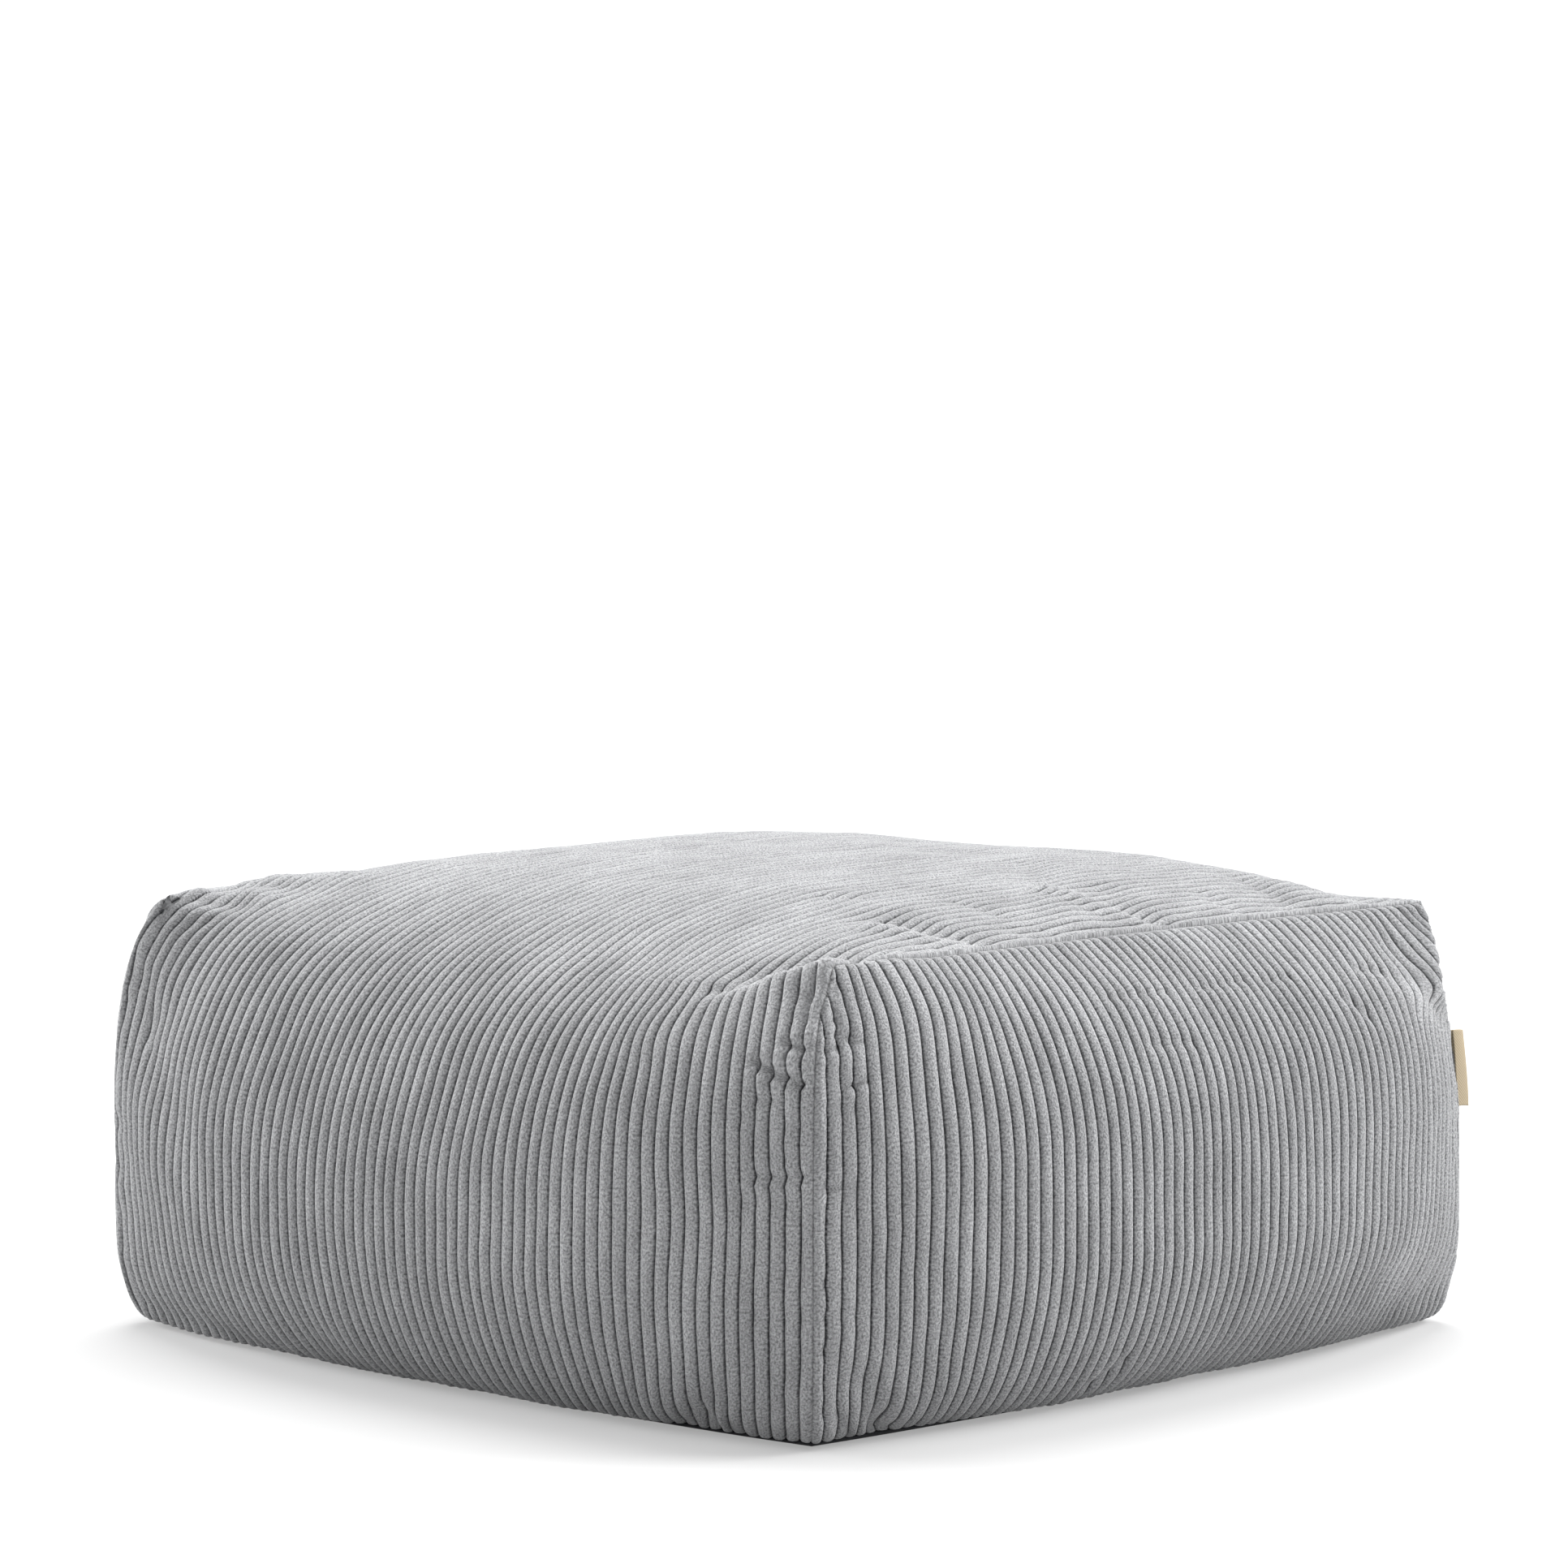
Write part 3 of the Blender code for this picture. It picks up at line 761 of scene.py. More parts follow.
def soft_noise(across: np.ndarray, along: np.ndarray, cells: tuple, seed: int) -> np.ndarray:
    """Soft random heights over a grid of places.

    Args:
        across: The place of each column.
        along: The place of each row.
        cells: How far apart the random values are, across and along.
        seed: The number that picks them.

    Returns:
        A height from -1 to 1 for each column and row.
    """
    weights = []
    for places, cell in zip((across, along), cells):
        share = (places - places.min()) / cell
        knots = np.arange(int(share.max()) + 2)
        weights.append(1 - smooth_step(np.abs(share[:, None] - knots)))
    shape = (weights[0].shape[1], weights[1].shape[1])
    values = np.random.default_rng(seed).uniform(-1, 1, shape)
    return weights[0] @ values @ weights[1].T


# ---- The form --------------------------------------------------------------------------


@dataclass(frozen=True)
class Tug:
    """A place at which all the cloth is drawn aside, seams and all.

    Attributes:
        place: Its middle.
        offset: How far the cloth is drawn there.
        reach: How far round the place it is felt.
    """

    place: tuple
    offset: tuple
    reach: float


@dataclass(frozen=True)
class Corner:
    """One upright corner seam.

    Attributes:
        base: X and Y where it stands on the floor.
        belly: X and Y at the belly.
        tip: Its top, where the top seam starts.
        lean: How late it leans in towards its tip.
    """

    base: tuple
    belly: tuple
    tip: tuple
    lean: float


@dataclass(frozen=True)
class Side:
    """The middle of a side.

    Attributes:
        base: Its distance from the centre on the floor.
        belly: The same at the belly.
        roll: How square its roll over to the top is: 2 is an ellipse.
    """

    base: float
    belly: float
    roll: float = 3.0


@dataclass(frozen=True)
class Form:
    """The footstool's filled form, from which every panel takes its surface.

    Attributes:
        crown_height: Of the middle of the top.
        belly_height: Where the sides stand out furthest.
        seam_reach: From the centre to the middle of a top seam.
        seam_rise: How far a top seam rises in its middle.
        hem: The height at which the corduroy starts.
        hem_clearance: From there to the corduroy, on average.
        turn_under: The length of a corduroy panel's cloth that is out of sight there.
        near_foot, near_foot_reach, near_foot_lift: Where the hem lies a little
            higher, how far round there it does, and by how much.
        hem_waves: How high the hem wanders and how fast, along X and along Y.
        tuck_power, foot_power, end_power: How square its other curves are.
        belly_spread, base_spread, top_spread: How evenly a side bulges across.
        top_ease: How far up an end its rows start to ease into the top seam.
        seam_block, seam_block_power: Half the sizes of a squared block round the
            footstool, from which seams take their way out, and how square it is.
        front, back: The sides that the wrap panel covers.
        tugs: Where the cloth is drawn out of this form.
        ends: The sides that the end panels cover.
        corners: The corner seams, by end and by the side (-1 front, 1 back).
    """

    crown_height: float = 0.3200
    belly_height: float = 0.108
    seam_reach: float = 0.2996
    seam_rise: float = 0.001
    hem: float = 0.0024
    hem_clearance: float = 0.0006
    turn_under: float = 0.012
    near_foot: tuple = (0.31, -0.31)
    near_foot_reach: float = 0.16
    near_foot_lift: float = 0.0014
    hem_waves: tuple = ((0.0005, 37), (0.0004, 29))
    tuck_power: float = 1.87
    foot_power: float = 4.0
    end_power: float = 3.9
    belly_spread: float = 2.7
    base_spread: float = 2.6
    top_spread: float = 3.4
    top_ease: float = 0.7
    seam_block: tuple = (0.34, 0.34, 0.18)
    seam_block_power: int = 6
    front: Side = Side(0.312, 0.374, 2.85)
    back: Side = Side(0.320, 0.368, 3.7)
    tugs: tuple = (
        Tug((0.309, -0.291, 0.2925), (0.002, 0.0080, 0.0036), 0.026),
        Tug((-0.302, -0.302, 0.2965), (0.0020, 0.0020, -0.0012), 0.012),
        Tug((0.335, 0.318, 0.220), (-0.0030, -0.0022, 0.0), 0.055),
        Tug((0.313, -0.238, 0.2935), (0.001, 0.0, 0.0036), 0.032),
        Tug((0.317, -0.314, 0.268), (-0.0022, 0.0022, 0.0), 0.009),
        Tug((-0.262, -0.322, 0.262), (0.0, 0.0090, -0.0040), 0.045),
    )
    ends: dict = field(
        default_factory=lambda: {End.RIGHT: Side(0.323, 0.391), End.LEFT: Side(0.323, 0.388)}
    )
    corners: dict = field(
        default_factory=lambda: {
            (End.RIGHT, -1): Corner((0.305, -0.305), (0.325, -0.325), (0.305, -0.295, 0.2925), 4),
            (End.RIGHT, 1): Corner((0.316, 0.300), (0.339, 0.3137), (0.310, 0.310, 0.2885), 3),
            (End.LEFT, -1): Corner((-0.306, -0.294), (-0.3347, -0.3118), (-0.302, -0.302, 0.2965), 4),
            (End.LEFT, 1): Corner((-0.306, 0.304), (-0.325, 0.325), (-0.303, 0.303, 0.2930), 4),
        }
    )

    def post(self, end: End, side: int) -> np.ndarray:
        """One corner seam.

        Args:
            end: The end that it belongs to.
            side: -1 for the front, 1 for the back.

        Returns:
            Its points, from the hem to the top tip.
        """
        corner = self.corners[end, side]
        base = np.array([*corner.base, 0.0])
        belly = np.array([*corner.belly, self.belly_height])
        tip = np.array(corner.tip)
        start = self.hem / self.belly_height
        share = np.linspace(0, 1, CURVE_SAMPLES)[:, None] ** 2
        up = start + (1 - start) * share
        level = np.array([1, 1, 0])
        out = np.sqrt(1 - (1 - up) ** self.foot_power)
        foot = base + (belly - base) * np.where(level, out, up)
        top = belly + (tip - belly) * np.where(level, share**corner.lean, share)
        return np.concatenate([foot, top[1:]])

    def top_seam(self, end: End) -> np.ndarray:
        """The seam along the top of one end.

        Args:
            end: The end.

        Returns:
            Its points, from the front tip to the back tip.
        """
        front, back = (np.array(self.corners[end, side].tip) for side in (-1, 1))
        t = np.linspace(0, 1, CURVE_SAMPLES)[:, None]
        bow = end.value * self.seam_reach - (front[0] + back[0]) / 2
        return front + (back - front) * t + 4 * t * (1 - t) * np.array([bow, 0, self.seam_rise])

    def seam(self, end: End, sides: np.ndarray, tops: np.ndarray) -> tuple:
        """The whole seam of one end, up, over and down.

        Args:
            end: The end.
            sides: The fractions of an upright seam at which its rows lie.
            tops: The same for the top seam.

        Returns:
            The points of the rows, and the fraction of the seam at each.
        """
        front, top, back = self.post(end, -1), self.top_seam(end), self.post(end, 1)
        runs = [lengths(curve)[-1] for curve in (front, top, back)]
        rows = [
            at_fractions(front, sides),
            at_fractions(top, tops)[1:],
            at_fractions(back, sides)[-2::-1],
        ]
        travelled = [
            runs[0] * sides,
            runs[0] + runs[1] * tops[1:],
            runs[0] + runs[1] + runs[2] * (1 - sides[-2::-1]),
        ]
        return np.concatenate(rows), np.concatenate(travelled) / sum(runs)

    def tuck(self, side: Side) -> np.ndarray:
        """The lower part of a side's middle line.

        Args:
            side: The side.

        Returns:
            Its points from the hem to the belly, as reach and height.
        """
        start = math.acos((1 - self.hem / self.belly_height) ** (self.tuck_power / 2))
        turn = np.linspace(start, math.pi / 2, CURVE_SAMPLES)
        reach = side.base + (side.belly - side.base) * np.sin(turn) ** (2 / self.tuck_power)
        height = self.belly_height * (1 - np.cos(turn) ** (2 / self.tuck_power))
        return np.stack([reach, height], axis=-1)

    def rolled(self, side: Side) -> np.ndarray:
        """A side's middle line, over its roll to the top.

        Args:
            side: The front or the back.

        Returns:
            Its points from the hem to the crown, as reach and height.
        """
        turn = np.linspace(0, math.pi / 2, CURVE_SAMPLES)[1:]
        reach = side.belly * np.cos(turn) ** (2 / side.roll)
        rise = self.crown_height - self.belly_height
        height = self.belly_height + rise * np.sin(turn) ** (2 / side.roll)
        return np.concatenate([self.tuck(side), np.stack([reach, height], axis=-1)])

    def wrap_middle(self, fractions: np.ndarray) -> np.ndarray:
        """The wrap panel's middle line at these fractions of its length."""
        line = [self.rolled(self.front) * [-1, 1], self.rolled(self.back)[-2::-1]]
        return np.insert(at_fractions(np.concatenate(line), fractions), 0, 0, axis=1)

    def end_middle(self, end: End, seam_height: float, rows: np.ndarray) -> np.ndarray:
        """An end panel's middle line.

        Args:
            end: The end.
            seam_height: The height of its top seam there.
            rows: The fractions of the line at which rows lie.

        Returns:
            Its points, from the hem to the top seam.
        """
        share = np.linspace(0, 1, CURVE_SAMPLES)[1:]
        belly = self.ends[end].belly
        reach = self.seam_reach + (belly - self.seam_reach) * (1 - share**self.end_power)
        height = self.belly_height + (seam_height - self.belly_height) * share
        line = np.concatenate([self.tuck(self.ends[end]), np.stack([reach, height], axis=-1)])
        points = at_fractions(line, rows)
        return np.stack([end.value * points[:, 0], 0 * points[:, 0], points[:, 1]], axis=-1)

    def spread(self, across: np.ndarray, height: np.ndarray) -> np.ndarray:
        """How much of a side's bulge reaches a place.

        Args:
            across: Where it is, from -1 at one seam to 1 at the other.
            height: The height of the side's middle line there.

        Returns:
            The share, from 1 mid-way to 0 at a seam.
        """
        low = 1 - np.clip(height / self.belly_height, 0, 1)
        rise = self.crown_height - self.belly_height
        high = np.clip((height - self.belly_height) / rise, 0, 1)
        power = self.belly_spread + (self.base_spread - self.belly_spread) * low**2
        power = power + (self.top_spread - self.belly_spread) * high
        return 1 - np.abs(across) ** power

    def wrap(self, across: np.ndarray, sides: np.ndarray, tops: np.ndarray) -> np.ndarray:
        """The wrap panel's smooth surface.

        Args:
            across: The columns' places, from -1 at the left seam to 1 at the right,
                by column and row.
            sides: The fractions of an upright seam at which rows lie.
            tops: The same for the top seam.

        Returns:
            Its points, by column and row.
        """
        left, fractions = self.seam(End.LEFT, sides, tops)
        right, _ = self.seam(End.RIGHT, sides, tops)
        return self.tugged(self.bridged(across, left, right, self.wrap_middle(fractions)))

    def end(self, end: End, across: np.ndarray, rows: np.ndarray) -> np.ndarray:
        """An end panel's smooth surface.

        Args:
            end: The end that it closes.
            across: The columns' places, from -1 at the front to 1 at the back, by
                column and row.
            rows: The fractions of an upright seam at which rows lie.

        Returns:
            Its points, by column and row.
        """
        front, back = (at_fractions(self.post(end, side), rows) for side in (-1, 1))
        top = self.top_seam(end)
        middle = self.end_middle(end, top[CURVE_SAMPLES // 2, 2], rows)
        points = self.bridged(across, front, back, middle)
        # The rows near the top ease into the seam's own curve.
        ease = smooth_step((rows - self.top_ease) / (1 - self.top_ease))[None, :, None]
        topmost = self.bridged(across, front[-1:], back[-1:], middle[-1:])
        shift = at_fractions(top, (across + 1) / 2) - topmost
        return self.tugged(points + shift * ease)

    def bridged(
        self, across: np.ndarray, front: np.ndarray, back: np.ndarray, middle: np.ndarray
    ) -> np.ndarray:
        """A surface from one seam over a middle line to another.

        Args:
            across: The columns' places, from -1 to 1, by column and row.
            front: One seam's points, by row.
            back: The other's.
            middle: The middle line's.

        Returns:
            Its points, by column and row.
        """
        place = across[..., None]
        straight = (front * (1 - place) + back * (1 + place)) / 2
        bulge = self.spread(place, middle[:, 2:])
        return straight + bulge * (middle - (front + back) / 2)

    def tugged(self, points: np.ndarray) -> np.ndarray:
        """Points of the form, moved to where the cloth is drawn.

        Args:
            points: The points.

        Returns:
            Where they lie.
        """
        moved = points.copy()
        for tug in self.tugs:
            away = np.linalg.norm(points - np.array(tug.place), axis=-1, keepdims=True)
            moved += np.array(tug.offset) * np.exp(-((away / tug.reach) ** 2))
        return moved

    def outward(self, seam: np.ndarray) -> np.ndarray:
        """The direction straight out of a seam, half-way between its two panels."""
        place = (seam - CENTRE) / np.array(self.seam_block)
        return unit(np.sign(place) * np.abs(place) ** self.seam_block_power)

    def hem_height(self, points: np.ndarray) -> np.ndarray:
        """How high the corduroy's lower edge lies, which wanders round the base.

        Args:
            points: Places on the floor or over it.

        Returns:
            The height over or under each.
        """
        x, y = points[..., 0], points[..., 1]
        near = np.hypot(x - self.near_foot[0], y - self.near_foot[1]) / self.near_foot_reach
        (x_height, x_rate), (y_height, y_rate) = self.hem_waves
        wander = x_height * np.sin(x_rate * x + 1) + y_height * np.sin(y_rate * y + 2)
        lift = self.near_foot_lift * np.exp(-(near**2))
        return self.hem + self.hem_clearance + lift + wander

    def stand(self, points: np.ndarray, foot: np.ndarray) -> None:
        """Lays a surface's lowest row at the hem's height, and no other row below it.

        Args:
            points: The surface, by column and row, which is changed.
            foot: Where its columns stand, which gives the height.
        """
        lowest = self.hem_height(foot)
        points[:, 0, 2] = lowest
        points[..., 2] = np.maximum(points[..., 2], lowest[:, None])


# ---- Cloth ------------------------------------------------------------------------------


@dataclass(frozen=True)
class Weave:
    """How the corduroy is woven.

    Attributes:
        ribs: Ribs across each panel.
        pitch: From one rib to the next.
        depth: From a crest to a valley.
        roundness: Of a rib's section: 2 is a half ellipse, more is flatter.
        round_end: The length over which a rib ends round at a seam.
        seam_sink: How far the cloth sinks into a seam.
        seam_round: The width over which the pile rounds down to a side seam.
        thickness: From the smooth surface to an end panel's back, which lies
            deeper than any crease.
        spare: Ribs beyond each side seam, which cuts them off or lets them in.
        uneven: How far the height of a rib varies, as a share.
        uneven_run: The length of rib over which it does.
    """

    ribs: int = 64
    spare: int = 5
    pitch: float = 0.010
    depth: float = 0.0040
    roundness: float = 2.4
    round_end: float = 0.007
    seam_sink: float = 0.0014
    seam_round: float = 0.0024
    thickness: float = 0.0065
    uneven: float = 0.10
    uneven_run: float = 0.030

    def columns(self, phases: tuple) -> np.ndarray:
        """The places of the columns across a panel, counted in ribs.

        Args:
            phases: The places of the columns within one rib, from 0 to 1.

        Returns:
            The places, from 0 to the number of ribs, with the spare ribs on both sides.
        """
        whole = np.arange(-self.spare, self.ribs + self.spare)
        counted = (whole[:, None] + np.array(phases)).ravel()
        return np.append(counted, self.ribs + self.spare)

    def slid(self, counted: np.ndarray, paths: RibPaths, width: float, along: np.ndarray) -> np.ndarray:
        """Where each column lies in each row, once its rib has slid.

        Args:
            counted: The columns' places, in ribs.
            paths: Where the ribs run.
            width: Of the panel.
            along: Each row's place on the cloth.

        Returns:
            The places by column and row, from -1 at one seam to 1 at the other. The
            outermost columns never come within the seams.
        """
        even = counted / self.ribs * 2 - 1
        places = even[:, None] + paths.at(even * width / 2, along) * 2 / width
        places[0] = np.minimum(places[0], -1)
        places[-1] = np.maximum(places[-1], 1)
        return np.maximum.accumulate(places, axis=0)

    def crown(self, counted: np.ndarray) -> np.ndarray:
        """The section of the ribs: 0 in a valley and 1 on a crest."""
        off_crest = np.abs(2 * (counted % 1) - 1)
        return (1 - off_crest**self.roundness) ** (1 / self.roundness)


@dataclass(frozen=True)
class Unevenness:
    """One kind of slight random unevenness in the cloth.

    Attributes:
        size: How far it moves the cloth.
        cells: How far apart its random values are, across and along.
    """

    size: float
    cells: tuple

    def over(self, across: np.ndarray, along: np.ndarray, seed: int) -> np.ndarray:
        """How far it moves each point of a grid that has these columns and rows."""
        return self.size * soft_noise(across, along, self.cells, seed)


@dataclass(frozen=True)
class Slack:
    """How uneven the cloth lies.

    Attributes:
        lumps: Of the filling, all over.
        ripples: Of the cloth's slack, beside the side seams.
        ripple_reach: How far from a side seam those reach.
        sway: Of the ribs sideways, over long stretches.
        wiggle: The same, over short ones.
        side_fade, end_fade: How far within the seams it all starts.
    """

    lumps: Unevenness = Unevenness(0.0010, (0.060, 0.045))
    ripples: Unevenness = Unevenness(0.0014, (0.020, 0.0105))
    ripple_reach: float = 0.026
    sway: Unevenness = Unevenness(0.0006, (0.045, 0.038))
    wiggle: Unevenness = Unevenness(0.00025, (0.013, 0.015))
    side_fade: float = 0.008
    end_fade: float = 0.012


def outward_normals(points: np.ndarray) -> np.ndarray:
    """The normals of a surface, turned away from the footstool's centre.

    Args:
        points: The surface's points, by column and row.

    Returns:
        A normal with a length of 1 for each.
    """
    normal = unit(np.cross(np.gradient(points, axis=0), np.gradient(points, axis=1)))
    outward = np.sum(normal * (points - CENTRE), axis=-1, keepdims=True)
    return normal * np.sign(outward)


@dataclass
class Cloth:
    """A panel of corduroy, as a grid of points by column and row.

    Attributes:
        panel: Which panel it is.
        points: The points.
        counted: Each column's place, in ribs.
        places: Each point's place across the panel, from -1 to 1 between its seams.
        start: The length of cloth below the first row.
        slack: How uneven it lies.
        deepest: How low creases may sink it, where they lie over each other.
        crease_fade: How far within the seams a crease starts.
        turn_start, turn_width: How near the left seam the rows' turns are rounded,
            as a place across, and over what width that sets in.
        turn_fade: How far within that seam.
        turn_samples: How many places along the cloth each turn is averaged over.
        hem_ease: How far up the panel its lower edge's wander is felt.
        hem_guard: How far up the cloth is kept from hanging lower than that edge.
        half: Half the panel's width.
        across: Each point's place on the flat cloth, in metres from its middle.
        column_across: The same for a whole column, on average.
        along: Each row's place on it.
    """

    panel: Panel
    points: np.ndarray
    counted: np.ndarray
    places: np.ndarray
    start: float
    slack: Slack = Slack()
    deepest: float = -0.006
    crease_fade: float = 0.007
    turn_start: float = -0.35
    turn_width: float = 0.4
    turn_fade: float = 0.013
    turn_samples: int = 7
    hem_ease: float = 0.02
    hem_guard: float = 0.03
    half: float = field(init=False)
    across: np.ndarray = field(init=False)
    column_across: np.ndarray = field(init=False)
    along: np.ndarray = field(init=False)

    def __post_init__(self) -> None:
        """Measures the cloth."""
        steps = np.linalg.norm(np.diff(self.points, axis=1), axis=-1).mean(axis=0)
        self.along = self.start + np.concatenate([[0], np.cumsum(steps)])
        widths = np.linalg.norm(np.diff(self.points, axis=0), axis=-1).sum(axis=0)
        self.half = (widths / (self.places[-1] - self.places[0])).mean()
        self.across = self.places * self.half
        self.column_across = self.across.mean(axis=1)

    def move(self, lift: np.ndarray, slide: np.ndarray) -> None:
        """Moves each point out of the surface and across it.

        Args:
            lift: How far out, by column and row.
            slide: How far across.
        """
        sideways = unit(np.gradient(self.points, axis=0))
        normals = outward_normals(self.points)
        self.points = self.points + normals * lift[..., None] + sideways * slide[..., None]

    def soften(self, reach: float) -> None:
        """Rounds off the rows' turns by the left seam, though not at the seam itself.

        Args:
            reach: How far along the cloth a turn is rounded.
        """
        by_seam = smooth_step((self.turn_start - self.places) / self.turn_width)
        by_seam = by_seam * smooth_step(self.off_sides() / self.turn_fade)
        rounded_points = np.zeros_like(self.points)
        shifts = np.linspace(-reach, reach, self.turn_samples)
        for column, points in enumerate(self.points):
            for shift in shifts:
                wanted = self.along + shift * by_seam[column]
                moved = [np.interp(wanted, self.along, axis) for axis in points.T]
                rounded_points[column] += np.stack(moved, axis=-1) / len(shifts)
        self.points = rounded_points

    def off_sides(self) -> np.ndarray:
        """Each point's distance within the nearer side seam, or 0 beyond it."""
        return np.maximum(self.half - np.abs(self.across), 0)

    def off_ends(self) -> np.ndarray:
        """Each row's distance from the nearer end of the panel."""
        return np.minimum(self.along - self.along[0], self.along[-1] - self.along)

    def within(self, side_fade: float, end_fade: float) -> np.ndarray:
        """A rise from 0 at the seams to 1 at these distances within them."""
        return smooth_step(self.off_sides() / side_fade) * smooth_step(self.off_ends() / end_fade)

    def press(self, creases: tuple) -> None:
        """Presses creases in.

        Args:
            creases: The creases, of which those in this panel are used.
        """
        across, along = self.across, self.along[None, :]
        lift = np.zeros(across.shape)
        slide = np.zeros_like(lift)
        for crease in creases:
            if crease.panel is not self.panel:
                continue
            run = np.array([crease.to_across - crease.across, crease.to_along - crease.along])
            off_start = across - crease.across, along - crease.along
            share = (off_start[0] * run[0] + off_start[1] * run[1]) / max(run @ run, NO_LENGTH)
            share = np.clip(share, 0, 1)
            distance = np.hypot(off_start[0] - share * run[0], off_start[1] - share * run[1])
            shape = np.exp(-((distance / crease.width) ** 2))
            lift += crease.height * shape
            slide += crease.slide * shape
        keep = self.within(self.crease_fade, self.crease_fade)
        self.move(np.maximum(lift, self.deepest) * keep, slide * keep)

    def slacken(self, seed: int) -> None:
        """Gives the cloth its slight unevenness, more of it beside the seams.

        Args:
            seed: The number that picks the unevenness.
        """
        slack = self.slack
        near_side = np.exp(-((self.off_sides() / slack.ripple_reach) ** 2))
        fade = self.within(slack.side_fade, slack.end_fade)
        where = (self.column_across, self.along)
        lift = slack.lumps.over(*where, seed) + near_side * slack.ripples.over(*where, seed + 1)
        slide = slack.sway.over(*where, seed + 2) + slack.wiggle.over(*where, seed + 3)
        self.move(lift * fade, slide * fade)

    def settle(self, form: Form, ends: tuple) -> None:
        """Brings the lower edges to the height of the hem.

        Args:
            form: The form, which gives the height.
            ends: The numbers of the rows that are lower edges.
        """
        for row in ends:
            away = np.abs(self.along - self.along[row])
            ease = 1 - smooth_step(away / self.hem_ease)
            shift = form.hem_height(self.points[:, row]) - self.points[:, row, 2]
            self.points[..., 2] += shift[:, None] * ease
            height = form.hem_height(self.points)
            close = away < self.hem_guard
            self.points[:, close, 2] = np.maximum(self.points[:, close, 2], height[:, close])

    def rib(self, weave: Weave, seed: int) -> np.ndarray:
        """Raises the ribs, which end round at all the seams.

        Args:
            weave: The ribs' section.
            seed: The number that picks their slight unevenness.

        Returns:
            The points of the ribbed face.
        """
        fade = rounded(self.off_ends() / weave.round_end)
        fade = np.minimum(fade, rounded(self.off_sides() / weave.seam_round))
        variation = Unevenness(weave.uneven, (weave.pitch, weave.uneven_run))
        uneven = 1 + variation.over(self.column_across, self.along, seed)
        crown = weave.crown(self.counted)[:, None] * uneven
        height = weave.depth * (crown * fade - 0.5) - weave.seam_sink * (1 - fade)
        return self.points + outward_normals(self.points) * height[..., None]

    def cut(self, face: np.ndarray, form: Form, weave: Weave) -> tuple:
        """Draws all that lies beyond a side seam in to the seam.

        Args:
            face: The points of the ribbed face.
            form: The form, which gives the way out of a seam.
            weave: The corduroy, which gives how deep a seam lies.

        Returns:
            The points, and the ribs counted at each.
        """
        face = face.copy()
        counted = np.repeat(self.counted[:, None], len(self.along), axis=1)
        for side in (-1, 1):
            for row, places in enumerate(self.places.T):
                beyond = side * places >= 1
                seam = np.array([np.interp(side, places, axis) for axis in self.points[:, row].T])
                face[beyond, row] = seam - form.outward(seam) * weave.seam_sink
                counted[beyond, row] = np.interp(side, places, self.counted)
        return face, counted


# ---- Meshes -------------------------------------------------------------------------------


class PieceMesh:
    """A mesh under construction, with a map of places on the cloth."""

    def __init__(self, name: str) -> None:
        """Starts an empty mesh.

        Args:
            name: The name of the piece that it is for.
        """
        self.name = name
        self.mesh = bmesh.new()
        self.map = self.mesh.loops.layers.uv.new("cloth")

    def add_grid(self, points: np.ndarray, across: np.ndarray, along: np.ndarray) -> None:
        """Adds a grid of faces with its corners at these points.

        Args:
            points: The points, by column and row.
            across: What the map's X is at each point.
            along: What the map's Y is at each row.
        """
        across = np.broadcast_to(across, points.shape[:2])
        columns, rows = points.shape[0] - 1, points.shape[1] - 1
        made = bmesh.ops.create_grid(self.mesh, x_segments=columns, y_segments=rows, size=1)
        places = {}
        for vertex in made["verts"]:
            column = round((vertex.co.x + 1) / 2 * columns)
            row = round((vertex.co.y + 1) / 2 * rows)
            vertex.co = points[column, row]
            places[vertex] = (across[column, row], along[row])
        faces = {face for vertex in made["verts"] for face in vertex.link_faces}
        for face in faces:
            face.smooth = True
            for loop in face.loops:
                loop[self.map].uv = places[loop.vert]

    def add_plain_grid(self, points: np.ndarray) -> None:
        """Adds a grid of faces that shows plain pile, with none of the valleys' painted shade on it."""
        self.add_grid(points, np.full((1, 1), CREST), np.zeros(points.shape[1]))

    def weld(self) -> None:
        """Merges points that lie together."""
        bmesh.ops.remove_doubles(self.mesh, verts=self.mesh.verts, dist=WELD)

    def rims(self) -> list:
        """The edges that have a face on one side only."""
        return [edge for edge in self.mesh.edges if edge.is_boundary]

    def finish(self, material: bpy.types.Material) -> bpy.types.Object:
        """Turns the faces outwards and makes the mesh an object of the scene.

        Args:
            material: Its finish.

        Returns:
            The object, at the origin.
        """
        bmesh.ops.recalc_face_normals(self.mesh, faces=self.mesh.faces)
        data = bpy.data.meshes.new(self.name)
        self.mesh.to_mesh(data)
        self.mesh.free()
        data.materials.append(material)
        piece = bpy.data.objects.new(self.name, data)
        bpy.context.scene.collection.objects.link(piece)
        return piece


def dress(piece: bpy.types.Object, slot: str, *nodes: str) -> None:
    """Lets a piece ride on the part and stand for its solids.

    Args:
        piece: The piece.
        slot: Not used.
        *nodes: The solids that it replaces.
    """
    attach(piece, "root")
    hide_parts(*nodes)
    log.info("%s: %d faces, for %s", piece.name, len(piece.data.polygons), ", ".join(nodes))


def crowded(steps: int) -> np.ndarray:
    """Fractions from 0 to 1 in this many steps, a little closer together at both ends."""
    even = np.linspace(0, 1, steps + 1)
    return even - CROWDING * np.sin(2 * math.pi * even) / (2 * math.pi)


